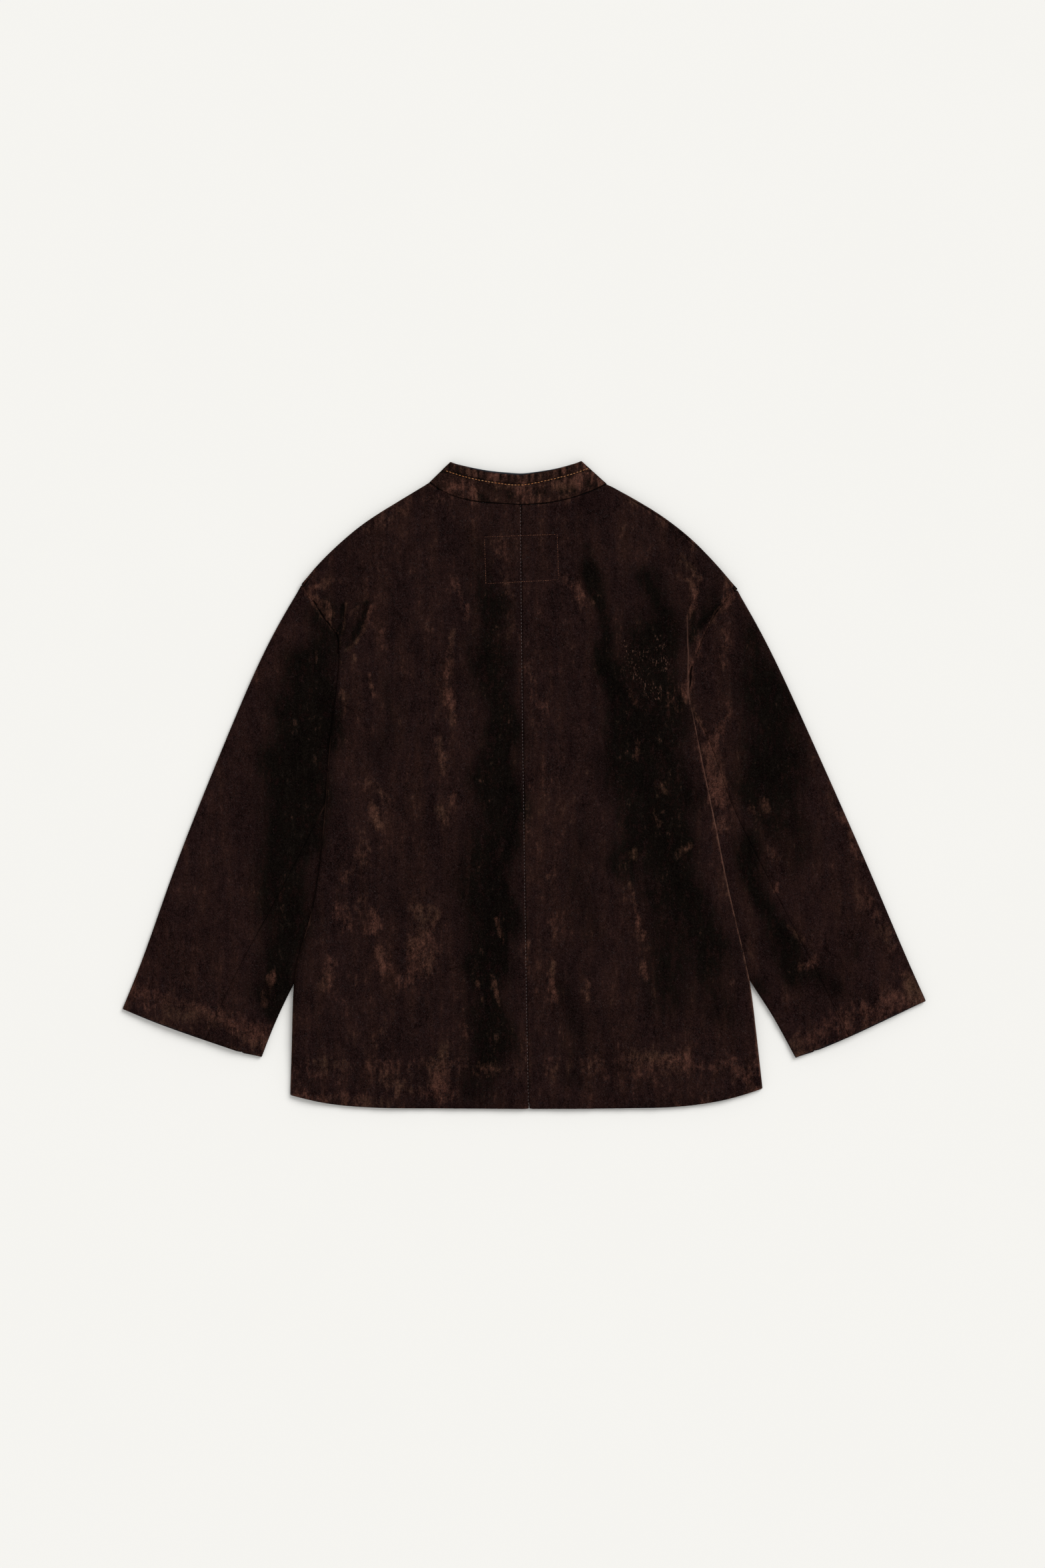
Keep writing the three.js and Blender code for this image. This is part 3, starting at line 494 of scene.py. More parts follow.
def covered(x, y, table, wander=PATCH_WANDER):
    """Share from 0 to 1 by which a table of patches covers each point."""
    bare = np.ones_like(x)
    for fall, strength in stroke_falls(x, y, table, wander):
        bare *= 1.0 - np.clip(fall * strength, 0.0, 1.0)
    return 1.0 - bare


def rippled(x, y, table):
    """Height of a few waves at each point, in millimetres."""
    height = np.zeros_like(x)
    for length, turn, phase, strength in table:
        along = x * math.cos(math.radians(turn)) + y * math.sin(math.radians(turn))
        bend = 0.8 * np.sin((x - y) / 61.0 + phase)
        height += strength * np.sin(along * math.tau / length + phase + bend)
    return height


def outside_body(x, y):
    """One where a sleeve lies in the open, and zero where the body covers it."""
    left = np.interp(y, *zip(*LEFT_EDGE))
    right = np.interp(y, *zip(*RIGHT_EDGE))
    return smooth_step(np.maximum(left - x, x - right) / SLEEVE_FADE)


def collar_puckers(x, y, depth):
    """Small gathers between the collar's top edge and its row of stitches."""
    below = np.interp(x, *zip(*COLLAR_TOP)) - y
    turn = (x + 1.2 * np.sin(x / 9.0)) * math.tau / GATHER_SPACING
    gathers = np.sin(turn) * (0.75 + 0.25 * np.sin(x / 5.3))
    window = smooth_step(below / 2.0) * smooth_step((GATHERS_END - below) / 4.0)
    roll_below, roll_width, roll_height = COLLAR_ROLL
    dent_below, dent_width, dent_depth = STITCH_DENT
    roll = roll_height * fall_off(below - roll_below, roll_width)
    dent = dent_depth * fall_off(below - dent_below, dent_width)
    return depth * gathers * window + roll - dent


def rim_distance(shell, points):
    """Distance from each point to the nearest edge of its piece, in millimetres."""
    shell.verts.ensure_lookup_table()
    found = []
    for edge in shell.edges:
        a, b = edge.verts
        if abs(a.normal.z) < RIM_TILT and abs(b.normal.z) < RIM_TILT:
            steps = max(1, math.ceil(edge.calc_length() / RIM_STEP))
            found.extend(a.co.lerp(b.co, i / steps) for i in range(steps))
    tree = KDTree(len(found))
    for index, point in enumerate(found):
        tree.insert((point.x, point.y, point.z * LAYER_APART), index)
    tree.balance()
    return np.array([tree.find((p[0], p[1], p[2] * LAYER_APART))[2] for p in points]) / MM


def copied_node(node_name, merge):
    """A bmesh copy of a CAD node with its doubles merged and its rim held firm."""
    shell = bmesh.new()
    shell.from_mesh(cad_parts[node_name].data)
    bmesh.ops.remove_doubles(shell, verts=shell.verts, dist=merge)
    bmesh.ops.join_triangles(
        shell, faces=shell.faces, angle_face_threshold=JOINING_ANGLE, angle_shape_threshold=math.pi
    )
    firm = shell.edges.layers.float.new("crease_edge")
    for edge in shell.edges:
        if edge.calc_face_angle(0.0) > FIRM_ANGLE:
            edge[firm] = RIM_CREASE
    return shell


def smoothed(shell, name, levels):
    """The mesh that a Subdivision Surface modifier makes of a bmesh."""
    rough = bpy.data.meshes.new(name + "_rough")
    shell.to_mesh(rough)
    shell.free()
    carrier = bpy.data.objects.new(name + "_rough", rough)
    bpy.context.scene.collection.objects.link(carrier)
    surface = carrier.modifiers.new("Smooth", "SUBSURF")
    surface.levels = levels
    surface.render_levels = levels
    graph = bpy.context.evaluated_depsgraph_get()
    mesh = bpy.data.meshes.new_from_object(carrier.evaluated_get(graph))
    bpy.data.objects.remove(carrier)
    bpy.data.meshes.remove(rough)
    return mesh


def cut_finer(shell, lowest):
    """Splits the outer face of the cloth once more, above the given height."""
    outer = [face for face in shell.faces if face.normal.z > OUTER_TILT]
    seen = [face for face in outer if face.calc_center_median().z > lowest]
    edges = list({edge for face in seen for edge in face.edges})
    bmesh.ops.subdivide_edges(shell, edges=edges, cuts=1, use_grid_fill=True)


def make_cloth(name, node_name, finish, creases, levels=2, merge=0.6 * MM, finer_above=None):
    """A piece of cloth on its CAD node's form, creased, rippled, and marked where it is worn and
    where painted shade, highlight and sheen lie.
    """
    sizes = bpy.context.scene.jacket_cloth
    mesh = smoothed(copied_node(node_name, merge), name, levels)
    shell = bmesh.new()
    shell.from_mesh(mesh)
    if finer_above is not None:
        cut_finer(shell, finer_above)
    shell.normal_update()
    points = np.array([v.co for v in shell.verts])
    facing = np.array([v.normal.z for v in shell.verts])
    x, y, z = points[:, 0] / MM, points[:, 1] / MM, points[:, 2]
    rim = rim_distance(shell, points)

    upper = smooth_step((z - LAYER_SPLIT_LOW) / (LAYER_SPLIT_HIGH - LAYER_SPLIT_LOW))
    above = creased(x, y, creases) * sizes.crease_strength
    above += rippled(x, y, RIPPLES) * sizes.ripple_strength
    pucker = rippled(x, y, SEAM_PUCKERS) * fall_off(rim, GATHERED_WIDTH)
    above += pucker * sizes.seam_pucker / MM
    hidden_dents = HIDDEN_CREASES * np.abs(creased(-x, y, creases))
    if node_name.startswith("sleeve"):
        above *= outside_body(x, y)
    if node_name.startswith("collar"):
        above += collar_puckers(x, y, sizes.collar_pucker / MM)
        hidden_dents = np.zeros_like(x)
    above *= MM
    hidden_dents *= MM

    top_rise = np.where(facing > 0.0, above, np.maximum(above, -AIR_BELOW))
    low_rise = np.where(facing < 0.0, hidden_dents, np.minimum(hidden_dents, AIR_BELOW))
    rise = upper * top_rise + (1.0 - upper) * low_rise
    sunk = covered(x, y, DEEP_SEAMS, 0.0)
    roll = fall_off(rim, ROLL_WIDTH + DEEP_ROLL_WIDTH * sunk)
    rise -= sizes.edge_roll * (1.0 + sunk) * facing * roll
    heights = np.maximum(z + rise, 0.0)
    closings = SEAM_CLOSING * (1.0 + CLOSING_AT_ENDS * covered(x, y, ARMHOLE_ENDS, 0.0))
    for vert, height, level, closing in zip(shell.verts, heights, facing, closings):
        outward = Vector((vert.normal.x, vert.normal.y, 0.0)) * (abs(level) < CLOSING_TILT)
        vert.co += outward.normalized() * closing
        vert.co.z = height

    cloth = bpy.data.meshes.new(name)
    shell.to_mesh(cloth)
    shell.free()
    bpy.data.meshes.remove(mesh)
    # The worn mark holds real wear and also painted highlight and sheen: the fold ridges and the
    # light lines along edges.
    near_rim = fall_off(rim, WORN_SHEEN_RIM_WIDTH)
    unworn = 1.0 - covered(x, y, WORN_PATCHES)
    unworn *= 1.0 - covered(x, y, FOLD_WEAR_AND_HIGHLIGHTS, FOLD_WANDER)
    worn = 1.0 - unworn * (1.0 - near_rim * covered(x, y, WORN_AND_SHEEN_EDGES))
    rubbed_and_sheen = covered(x, y, RUBBED_AND_SHEEN_EDGES, 0.0)
    # Painted shade: the fold shadows, and the dark bands, which are also pile lying away.
    lit = 1.0 - covered(x, y, PILE_AND_SHADE_BANDS, BAND_WANDER)
    lit *= 1.0 - covered(x, y, FOLD_SHADOWS, FOLD_WANDER)
    shade = 1.0 - lit
    if node_name == "collar":
        # Painted shade in the troughs of the gathers, and wear with painted highlight on their
        # ridges.
        gathers = collar_puckers(x, y, 1.0)
        shade = np.clip(shade + TROUGH_SHADE * np.clip(-gathers, 0.0, 1.0), 0.0, 1.0)
        worn = np.clip(worn + RIDGE_WEAR_AND_HIGHLIGHT * np.clip(gathers, 0.0, 1.0) + COLLAR_WEAR, 0.0, 1.0)
    at_tips = covered(x, y, SHOULDER_TIPS, 0.0)
    reverse = fall_off(rim, REVERSE_WIDTH) * covered(x, y, REVERSE_EDGES)
    marks = {
        "worn": worn * upper,
        "shade": shade * upper,
        "rubbed_and_sheen": rubbed_and_sheen * upper,
        "sunk": sunk * upper * (1.0 - TIP_LIGHTER * at_tips ** TIP_NEARNESS),
        "reverse": reverse * (1.0 - covered(x, y, HEM_SEAM_ENDS, 0.0)),
        "fleck": covered(x, y, FLECKED_PATCHES, FLECK_WANDER) * upper,
        "rim": np.clip(rim / RIM_REACH, 0.0, 1.0),
    }
    for mark, values in marks.items():
        layer = cloth.attributes.new(mark, "FLOAT", "POINT")
        layer.data.foreach_set("value", values.astype(np.float32))
    cloth.polygons.foreach_set("use_smooth", [True] * len(cloth.polygons))
    cloth.materials.clear()
    cloth.materials.append(finish)
    return finished(name, cloth, [node_name])


def finished(name, mesh, stands_for=()):
    """Links a mesh as a piece of the jacket that rides on its one body."""
    piece = bpy.data.objects.new(name, mesh)
    bpy.context.scene.collection.objects.link(piece)
    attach(piece, "root")
    if stands_for:
        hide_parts(*stands_for)
    return piece


def laid(piece, node_name):
    """Keeps a piece under its CAD node's name, where the threads find it."""
    CLOTH[node_name] = piece


def curve_points(corners, step):
    """Points at even steps, in millimetres, along a smooth line through the corners."""
    corners = [np.array(c, float) for c in corners]
    ends = [2 * corners[0] - corners[1], *corners, 2 * corners[-1] - corners[-2]]
    dense = []
    for p0, p1, p2, p3 in zip(ends, ends[1:], ends[2:], ends[3:]):
        for t in np.linspace(0.0, 1.0, CURVE_STEPS, endpoint=False):
            bend = 2 * p0 - 5 * p1 + 4 * p2 - p3
            twist = 3 * p1 - p0 - 3 * p2 + p3
            dense.append(0.5 * (2 * p1 + (p2 - p0) * t + bend * t * t + twist * t ** 3))
    dense.append(corners[-1])
    dense = np.array(dense)
    travelled = np.concatenate([[0.0], np.cumsum(np.hypot(*np.diff(dense, axis=0).T))])
    stops = np.arange(0.0, travelled[-1], step)
    return np.stack([np.interp(stops, travelled, dense[:, i]) for i in (0, 1)], axis=1)


def surface_under(pieces):
    """A search tree over the finished cloth of several pieces."""
    verts, faces = [], []
    for piece in pieces:
        first = len(verts)
        verts.extend(v.co.copy() for v in piece.data.vertices)
        faces.extend([first + i for i in p.vertices] for p in piece.data.polygons)
    return BVHTree.FromPolygons(verts, faces)


def add_stitches(shell, tree, line, length, gap, thickness, laid_from=LAID_FROM_ABOVE):
    """Lays a row of short rounded stitches on the cloth along a line."""
    high, down, proud = laid_from
    stops = curve_points(line, (length + gap) / MM)
    for index, (start, end) in enumerate(zip(stops, stops[1:])):
        along = (end - start) / np.hypot(*(end - start))
        aside = np.array([-along[1], along[0]]) * STITCH_SWAY * math.sin(index * 2.4)
        uneven = 1.0 - STITCH_UNEVEN + STITCH_UNEVEN * math.sin(index * 1.7)
        reach = along * length / MM * uneven
        ends = []
        for spot in (start + aside, start + aside + reach):
            hit = tree.ray_cast(Vector((spot[0] * MM, spot[1] * MM, high)), Vector((0, 0, down)))
            if hit[0] is not None:
                ends.append(hit[0] - Vector((0, 0, down)) * thickness * proud)
        if len(ends) < 2:
            continue
        line_of_it = ends[1] - ends[0]
        turn = line_of_it.to_track_quat("X", "Z").to_matrix().to_4x4()
        grow = Matrix.Diagonal((line_of_it.length / 2, thickness / 2, thickness / 2, 1.0))
        place = Matrix.Translation((ends[0] + ends[1]) / 2)
        quarter = Matrix.Rotation(math.pi / 2, 4, "Y")
        bmesh.ops.create_uvsphere(
            shell, u_segments=6, v_segments=5, radius=1.0, matrix=place @ turn @ grow @ quarter
        )


def thread_piece(name, shell, finish):
    """Turns a bmesh full of stitches into one piece of the jacket."""
    mesh = bpy.data.meshes.new(name)
    bmesh.ops.recalc_face_normals(shell, faces=shell.faces)
    shell.to_mesh(mesh)
    shell.free()
    mesh.polygons.foreach_set("use_smooth", [True] * len(mesh.polygons))
    mesh.materials.append(finish)
    return finished(name, mesh)


class Value:
    """A socket in a finish. Arithmetic on it adds the finish's Math nodes."""

    def __init__(self, finish, socket):
        self.finish = finish
        self.socket = socket

    def maths(self, operation, *parts, clamp=False):
        settings = {"operation": operation, "use_clamp": clamp}
        return self.finish.node("ShaderNodeMath", settings, dict(enumerate(parts)))

    def __add__(self, other):
        return self.maths("ADD", self, other)

    def __radd__(self, other):
        return self.maths("ADD", other, self)

    def __sub__(self, other):
        return self.maths("SUBTRACT", self, other)

    def __rsub__(self, other):
        return self.maths("SUBTRACT", other, self)

    def __mul__(self, other):
        return self.maths("MULTIPLY", self, other)

    def __rmul__(self, other):
        return self.maths("MULTIPLY", other, self)

    def clipped(self):
        return self.maths("ADD", self, 0.0, clamp=True)

    def at_least(self, low):
        return self.maths("MAXIMUM", self, low)

    def rising(self, start, gain):
        """Zero up to a start, and from there up to one with a gain."""
        return ((self - start) * gain).clipped()


class Finish:
    """A material being built. Every node in it comes from node()."""

    def __init__(self, name):
        self.material = bpy.data.materials.new(name)
        self.material.use_nodes = True
        self.tree = self.material.node_tree
        self.tree.nodes.clear()
        self.places = {}

    def node(self, kind, settings=None, values=None, output=0):
        made = self.tree.nodes.new(kind)
        for key, value in (settings or {}).items():
            setattr(made, key, value)
        for key, value in (values or {}).items():
            if isinstance(value, Value):
                self.tree.links.new(value.socket, made.inputs[key])
            else:
                made.inputs[key].default_value = value
        return Value(self, made.outputs[output])

    def place(self, turn=0.0):
        """The point on the piece, in millimetres, turned about the vertical."""
        if turn not in self.places:
            point = self.node("ShaderNodeTexCoord", output="Object")
            turned = {"Vector": point, "Rotation": (0.0, 0.0, math.radians(turn))}
            turned["Scale"] = (1 / MM, 1 / MM, 1 / MM)
            self.places[turn] = self.node("ShaderNodeMapping", values=turned)
        return self.places[turn]

    def noise(self, place, size, detail=2.0, roughness=0.5):
        """Cloudy values about one half, with patches of the given size in millimetres."""
        size = size if hasattr(size, "__len__") else (size, size, size)
        shrink = tuple(1.0 / s for s in size)
        spread = self.node("ShaderNodeVectorMath", {"operation": "MULTIPLY"}, {0: place, 1: shrink})
        values = {"Vector": spread, "Scale": 1.0, "Detail": detail, "Roughness": roughness}
        return self.node("ShaderNodeTexNoise", values=values)

    def mark(self, name):
        """A value that the piece's own mesh carries."""
        return self.node("ShaderNodeAttribute", {"attribute_name": name}, output="Fac")

    def mix(self, share, first, second):
        """A colour between two colours."""
        return self.node(
            "ShaderNodeMix", {"data_type": "RGBA"}, {0: share, 6: first, 7: second}, output=2
        )

    def scaled(self, colour, by):
        """A colour made brighter or darker by a value."""
        colour = colour if isinstance(colour, Value) else colour[:3]
        return self.node("ShaderNodeVectorMath", {"operation": "SCALE"}, {0: colour, "Scale": by})

    def bump(self, strength, distance, height):
        """Fine relief. The distance is in metres."""
        values = {"Strength": strength, "Distance": distance, "Height": height}
        return self.node("ShaderNodeBump", values=values)

    def finish_with(self, **values):
        """Ends the finish in one Principled shader with the given sockets."""
        sockets = {key.replace("_", " "): value for key, value in values.items()}
        shader = self.node("ShaderNodeBsdfPrincipled", values=sockets)
        made = self.tree.nodes.new("ShaderNodeOutputMaterial")
        self.tree.links.new(shader.socket, made.inputs["Surface"])
        return self.material


def opaque(colour):
    """A colour with its alpha."""
    return (*colour[:3], 1.0)


def pile_mixes(noises):
    """Every mix of the pile's noises, by what it changes."""
    mixes = {}
    for what, (start, weights) in PILE_MIXES.items():
        mixes[what] = start
        for kind, weight in weights.items():
            mixes[what] = mixes[what] + weight * noises[kind]
    return mixes


def light_fold(finish, mixes, fold_wear_and_sheen):
    """How much the light line of the fold, wear with painted sheen, covers the pile."""
    top_x, top_y = FOLD_TOP
    point_x = finish.node("ShaderNodeSeparateXYZ", values={0: finish.place()}, output="X")
    point_y = finish.node("ShaderNodeSeparateXYZ", values={0: finish.place()}, output="Y")
    fold_x = top_x + (point_y - top_y) * FOLD_LEAN + mixes["fold_place"]
    aside = finish.node("ShaderNodeMath", {"operation": "ABSOLUTE"}, {0: point_x - fold_x})
    reach = ((point_y - FOLD_FOOT[1]) * FOLD_FOOT_FADE).clipped()
    reach = reach * ((top_y - point_y) * FOLD_TOP_FADE).clipped()
    across = (FOLD_SHARPNESS - FOLD_SHARPNESS * aside).clipped()
    return across * reach * (fold_wear_and_sheen * mixes["fold"]).clipped()


def velvet(name, cloth, wear=1.0, fold_wear_and_sheen=0.0):
    """Crushed velvet: pile that lies this way and that, worn to rust in patches, with painted shade
    in its dark bands and seams and painted highlight and sheen on its light folds and edges.
    """
    colours = bpy.context.scene.jacket_colours
    finish = Finish(name)
    noises = {}
    for kind, (turn, size, detail, roughness) in PILE_NOISES.items():
        noises[kind] = finish.noise(finish.place(turn), size, detail, roughness) - 0.5
    mixes = pile_mixes(noises)
    worn, shade, fleck, rim, reverse, rubbed_and_sheen, sunk = (
        finish.mark(m) for m in ("worn", "shade", "fleck", "rim", "reverse", "rubbed_and_sheen", "sunk")
    )

    grain = (GRAIN_STRENGTH * noises["grain"]).at_least(GRAIN_DARKEST)
    tone = (mixes["tone"] + grain).at_least(TONE_DARKEST)
    dark_tone = tone * mixes["dark_tone"].at_least(DARK_TONE_DARKEST)
    broken = mixes["broken"] * (BROKEN_OUTSIDE + BROKEN_INSIDE * shade) * wear
    band = (BAND_GAIN * shade - BAND_START + broken).clipped()
    shade_mask = (EVEN_BAND * shade + BROKEN_BAND * band).clipped() * BAND_COVER
    wear_and_highlight_spread = WORN_GAIN * worn - WORN_START + wear * mixes["wear"]
    wear_and_highlight_spread = wear_and_highlight_spread + wear * shade * mixes["wear_in_shade"]
    wear_and_highlight_mask = ((WORN_STEEPNESS * wear_and_highlight_spread).clipped() * mixes["worn_pile"]).clipped()
    fleck_start, fleck_gain, fleck_cover = FLECKS
    fleck_mask = (mixes["flecks"] * fleck).rising(fleck_start, fleck_gain) * fleck_cover
    lint_mask = 0.0
    for kind, (start, gain, cover) in LINT.items():
        lint_mask = lint_mask + noises[kind].rising(start, gain) * cover
    lint_mask = lint_mask * (1.0 - LINT_LOST_IN_SHADE * shade_mask)
    rim_near = 1.0 - rim * RIM_REACH
    seam = rim_near * SEAM_AT_RIM + sunk * (rim_near * DEEP_AT_RIM + DEEP_THROUGH)
    seam_mask = seam.clipped() * (1.0 - rubbed_and_sheen).clipped() * SEAM_COVER
    rubbed_and_sheen_line = (rim_near * RUBBED_SHEEN_GAIN + RUBBED_SHEEN_WIDTH).clipped() * rubbed_and_sheen
    rubbed_and_sheen_mask = (rubbed_and_sheen_line * mixes["rubbed_and_sheen"]).clipped()

    wear_colour = finish.mix(mixes["olive"].clipped(), opaque(colours.worn), opaque(colours.olive))
    colour = finish.mix(mixes["warm"].clipped(), opaque(cloth), opaque(colours.warm))
    colour = finish.scaled(colour, tone)
    # Painted shade: the dark pile in the bands. The wear mask also carries painted highlight, and the
    # light fold is wear with painted sheen.
    colour = finish.mix(shade_mask, colour, finish.scaled(opaque(colours.dark), dark_tone))
    colour = finish.mix(wear_and_highlight_mask, colour, finish.scaled(wear_colour, tone))
    colour = finish.mix(light_fold(finish, mixes, fold_wear_and_sheen), colour, opaque(colours.edge))
    colour = finish.mix(fleck_mask, colour, opaque(colours.bleached))
    colour = finish.mix(lint_mask, colour, opaque(colours.lint))
    # Painted shadow in the seams, then the rubbed edges' wear with painted sheen.
    colour = finish.mix(seam_mask, colour, opaque(colours.seam))
    colour = finish.mix(reverse, colour, opaque(colours.reverse))
    colour = finish.mix(rubbed_and_sheen_mask, colour, opaque(colours.edge))

    return finish.finish_with(
        Base_Color=colour,
        Roughness=mixes["roughness"].clipped(),
        Specular_IOR_Level=0.0,
        Sheen_Weight=0.05,
        Sheen_Roughness=0.3,
        Sheen_Tint=opaque(colours.sheen),
        Normal=finish.bump(0.45, 0.5 * MM, mixes["relief"]),
    )


def woven_cotton(name, colour):
    """Plain woven cotton, as on the inner side of the collar."""
    finish = Finish(name)
    across = finish.noise(finish.place(), WEFT_SIZE)
    along = finish.noise(finish.place(), WARP_SIZE)
    patches = finish.noise(finish.place(), 14.0, 3.0)
    tone = 1.0 + YARN_CONTRAST * (across - 0.5) + YARN_CONTRAST * (along - 0.5)
    tone = tone + COTTON_PATCHES * (patches - 0.5)
    return finish.finish_with(
        Base_Color=finish.scaled(opaque(colour), tone),
        Roughness=0.9,
        Normal=finish.bump(0.5, 0.2 * MM, across + along),
    )


def spun_thread(name, colour, second):
    """Sewing thread that changes colour a little from stitch to stitch."""
    finish = Finish(name)
    stitch = finish.noise(finish.place(), 3.4, 1.0)
    ply = finish.noise(finish.place(40.0), (0.16, 0.9, 0.3))
    share = ((stitch - 0.5) * THREAD_CHANGE + 0.5).clipped()
    colours = finish.mix(share, opaque(colour), opaque(second))
    return finish.finish_with(
        Base_Color=finish.scaled(colours, PLY_DARKEST + PLY_CONTRAST * ply),
        Roughness=0.8,
        Specular_IOR_Level=0.1,
        Normal=finish.bump(0.6, 0.1 * MM, ply),
    )


def colour_setting(name, description, default):
    """A linear colour that a user can change."""
    return bpy.props.FloatVectorProperty(
        name=name, description=description, default=default, size=3, min=0.0, max=1.0,
        subtype="COLOR",
    )


def length_setting(name, description, default):
    """A small length that a user can change."""
    return bpy.props.FloatProperty(
        name=name, description=description, default=default, min=0.0, max=0.05, precision=5,
        subtype="DISTANCE", unit="LENGTH",
    )


class JacketClothSettings(bpy.types.PropertyGroup):
    """How the velvet lies."""

    crease_strength: bpy.props.FloatProperty(
        name="Crease strength", description="Height of the hand-placed creases",
        default=1.0, min=0.0, max=2.0, subtype="FACTOR",
    )
    ripple_strength: bpy.props.FloatProperty(
        name="Ripple strength", description="Height of the gentle waves in the cloth",
        default=1.0, min=0.0, max=2.0, subtype="FACTOR",
    )
    edge_roll: length_setting("Edge roll", "How far the pile drops at a seam or edge", 0.0005)
    seam_pucker: length_setting("Seam pucker", "Height of the gathers beside the seams", 0.0003)
    collar_pucker: length_setting("Collar pucker", "Height of the gathers above the stitches", 0.0004)


class JacketThreadSettings(bpy.types.PropertyGroup):
    """Sizes of the sewing threads."""

    stitch: length_setting("Collar stitch", "Length of a stitch of the collar's row", 0.0029)
    stitch_gap: length_setting("Collar stitch gap", "Gap between stitches of that row", 0.00085)
    collar_thread: length_setting("Collar thread", "Thickness of the collar's thread", 0.00075)
    seam_stitch: length_setting("Seam stitch", "Length of a stitch in the centre seam", 0.0022)
    seam_gap: length_setting("Seam stitch gap", "Gap between stitches in the centre seam", 0.0016)
    fine_thread: length_setting("Fine thread", "Thickness of the seam and rectangle thread", 0.0004)


class JacketColourSettings(bpy.types.PropertyGroup):
    """Colours of the velvet, the cotton and the threads."""

    body: colour_setting("Body velvet", "Pile of the back and fronts", (0.0118, 0.0055, 0.0051))
    sleeve: colour_setting("Sleeve velvet", "Pile of the sleeves", (0.0124, 0.0057, 0.0053))
    warm: colour_setting("Warm pile", "Pile that has turned a warmer brown", (0.0158, 0.0069, 0.0053))
    seam: colour_setting("Seam groove", "Shadow in the seams", (0.0012, 0.0009, 0.0008))
    # The worn edge colour is also painted sheen along folds and edges.
    edge: colour_setting("Worn edge", "Fold and edge rubbed to a light line", (0.105, 0.052, 0.038))
    collar: colour_setting("Collar velvet", "Pile of the collar", (0.0200, 0.0093, 0.0073))
    # The dark pile colour is also painted shade in the soft folds and where the body lies on the
    # sleeves.
    dark: colour_setting("Dark pile", "Pile that lies away", (0.0030, 0.0022, 0.0017))
    worn: colour_setting("Worn pile", "Pile worn to rust", (0.073, 0.0295, 0.0205))
    olive: colour_setting("Olive wear", "Pile worn to olive brown", (0.050, 0.027, 0.016))
    bleached: colour_setting("Bleached fleck", "Small bleached flecks", (0.092, 0.046, 0.033))
    lint: colour_setting("Lint", "Fine pale fibres", (0.058, 0.046, 0.046))
    sheen: colour_setting("Sheen", "Tint of the pile's sheen", (0.55, 0.36, 0.3))
    reverse: colour_setting("Collar inside", "Blue-grey cotton", (0.018, 0.027, 0.036))
    rust: colour_setting("Rust thread", "Thread of the collar row and rectangle", (0.36, 0.12, 0.038))
    cream: colour_setting("Cream thread", "Lighter stretches of that thread", (0.46, 0.24, 0.11))
    pale: colour_setting("Pale thread", "Thread in the centre seam", (0.15, 0.122, 0.118))
    faded: colour_setting("Faded thread", "Thread of the rectangle", (0.23, 0.095, 0.055))


class JacketStageSettings(bpy.types.PropertyGroup):
    """The floor, the light and the framing."""

    floor: colour_setting("Floor", "Off-white floor", (0.9, 0.893, 0.865))
    key_power: bpy.props.FloatProperty(
        name="Key light", description="Strength of the soft light from the upper right",
        default=1.9, min=0.0, max=20.0,
    )
    key_spread: bpy.props.FloatProperty(
        name="Key spread", description="Width of that light as it is seen from the floor",
        default=math.radians(35.0), min=0.0, max=math.pi, subtype="ANGLE", unit="ROTATION",
    )
    fill: bpy.props.FloatProperty(
        name="Fill light", description="Brightness of the light from all round",
        default=0.62, min=0.0, max=5.0,
    )
    view_height: bpy.props.FloatProperty(
        name="View height", description="Height of the camera over the floor",
        default=4.9, min=1.0, max=20.0, subtype="DISTANCE", unit="LENGTH",
    )


class JACKET_OT_back(bpy.types.Operator):
    """Makes the two halves of the back."""

    bl_idname = "jacket.back"
    bl_label = "Back"

    def execute(self, context):
        finish = velvet("velvet_back_finish", context.scene.jacket_colours.body, fold_wear_and_sheen=1.0)
        for side in ("left", "right"):
            node = "back_" + side
            piece = make_cloth(node + "_cloth", node, finish, BACK_CREASES, finer_above=2 * MM)
            laid(piece, node)
        return {"FINISHED"}


class JACKET_OT_fronts(bpy.types.Operator):
    """Makes the two fronts, which lie hidden on the floor."""

    bl_idname = "jacket.fronts"
    bl_label = "Fronts"

    def execute(self, context):
        finish = velvet("velvet_front_finish", context.scene.jacket_colours.body)
        for side in ("left", "right"):
            node = "front_" + side
            piece = make_cloth(node + "_cloth", node, finish, BACK_CREASES)
            laid(piece, node)
        return {"FINISHED"}


class JACKET_OT_sleeves(bpy.types.Operator):
    """Makes the two-piece sleeves."""

    bl_idname = "jacket.sleeves"
    bl_label = "Sleeves"

    def execute(self, context):
        finish = velvet("velvet_sleeve_finish", context.scene.jacket_colours.sleeve, wear=0.8)
        for side in ("left", "right"):
            for part in ("top", "under"):
                node = "sleeve_" + side + "_" + part
                piece = make_cloth(
                    node + "_cloth", node, finish, SLEEVE_CREASES, finer_above=4 * MM
                )
                laid(piece, node)
        return {"FINISHED"}


class JACKET_OT_collar(bpy.types.Operator):
    """Makes the collar and its inner band."""

    bl_idname = "jacket.collar"
    bl_label = "Collar"

    def execute(self, context):
        colours = context.scene.jacket_colours
        finish = velvet("velvet_collar_finish", colours.collar, wear=2.0)
        piece = make_cloth(
            "collar_cloth", "collar", finish, COLLAR_CREASES, levels=3, finer_above=3 * MM
        )
        laid(piece, "collar")
        cotton = woven_cotton("collar_reverse_finish", colours.reverse)
        inner = make_cloth("collar_inner_cloth", "collar_inner", cotton, (), merge=0.3 * MM)
        laid(inner, "collar_inner")
        return {"FINISHED"}


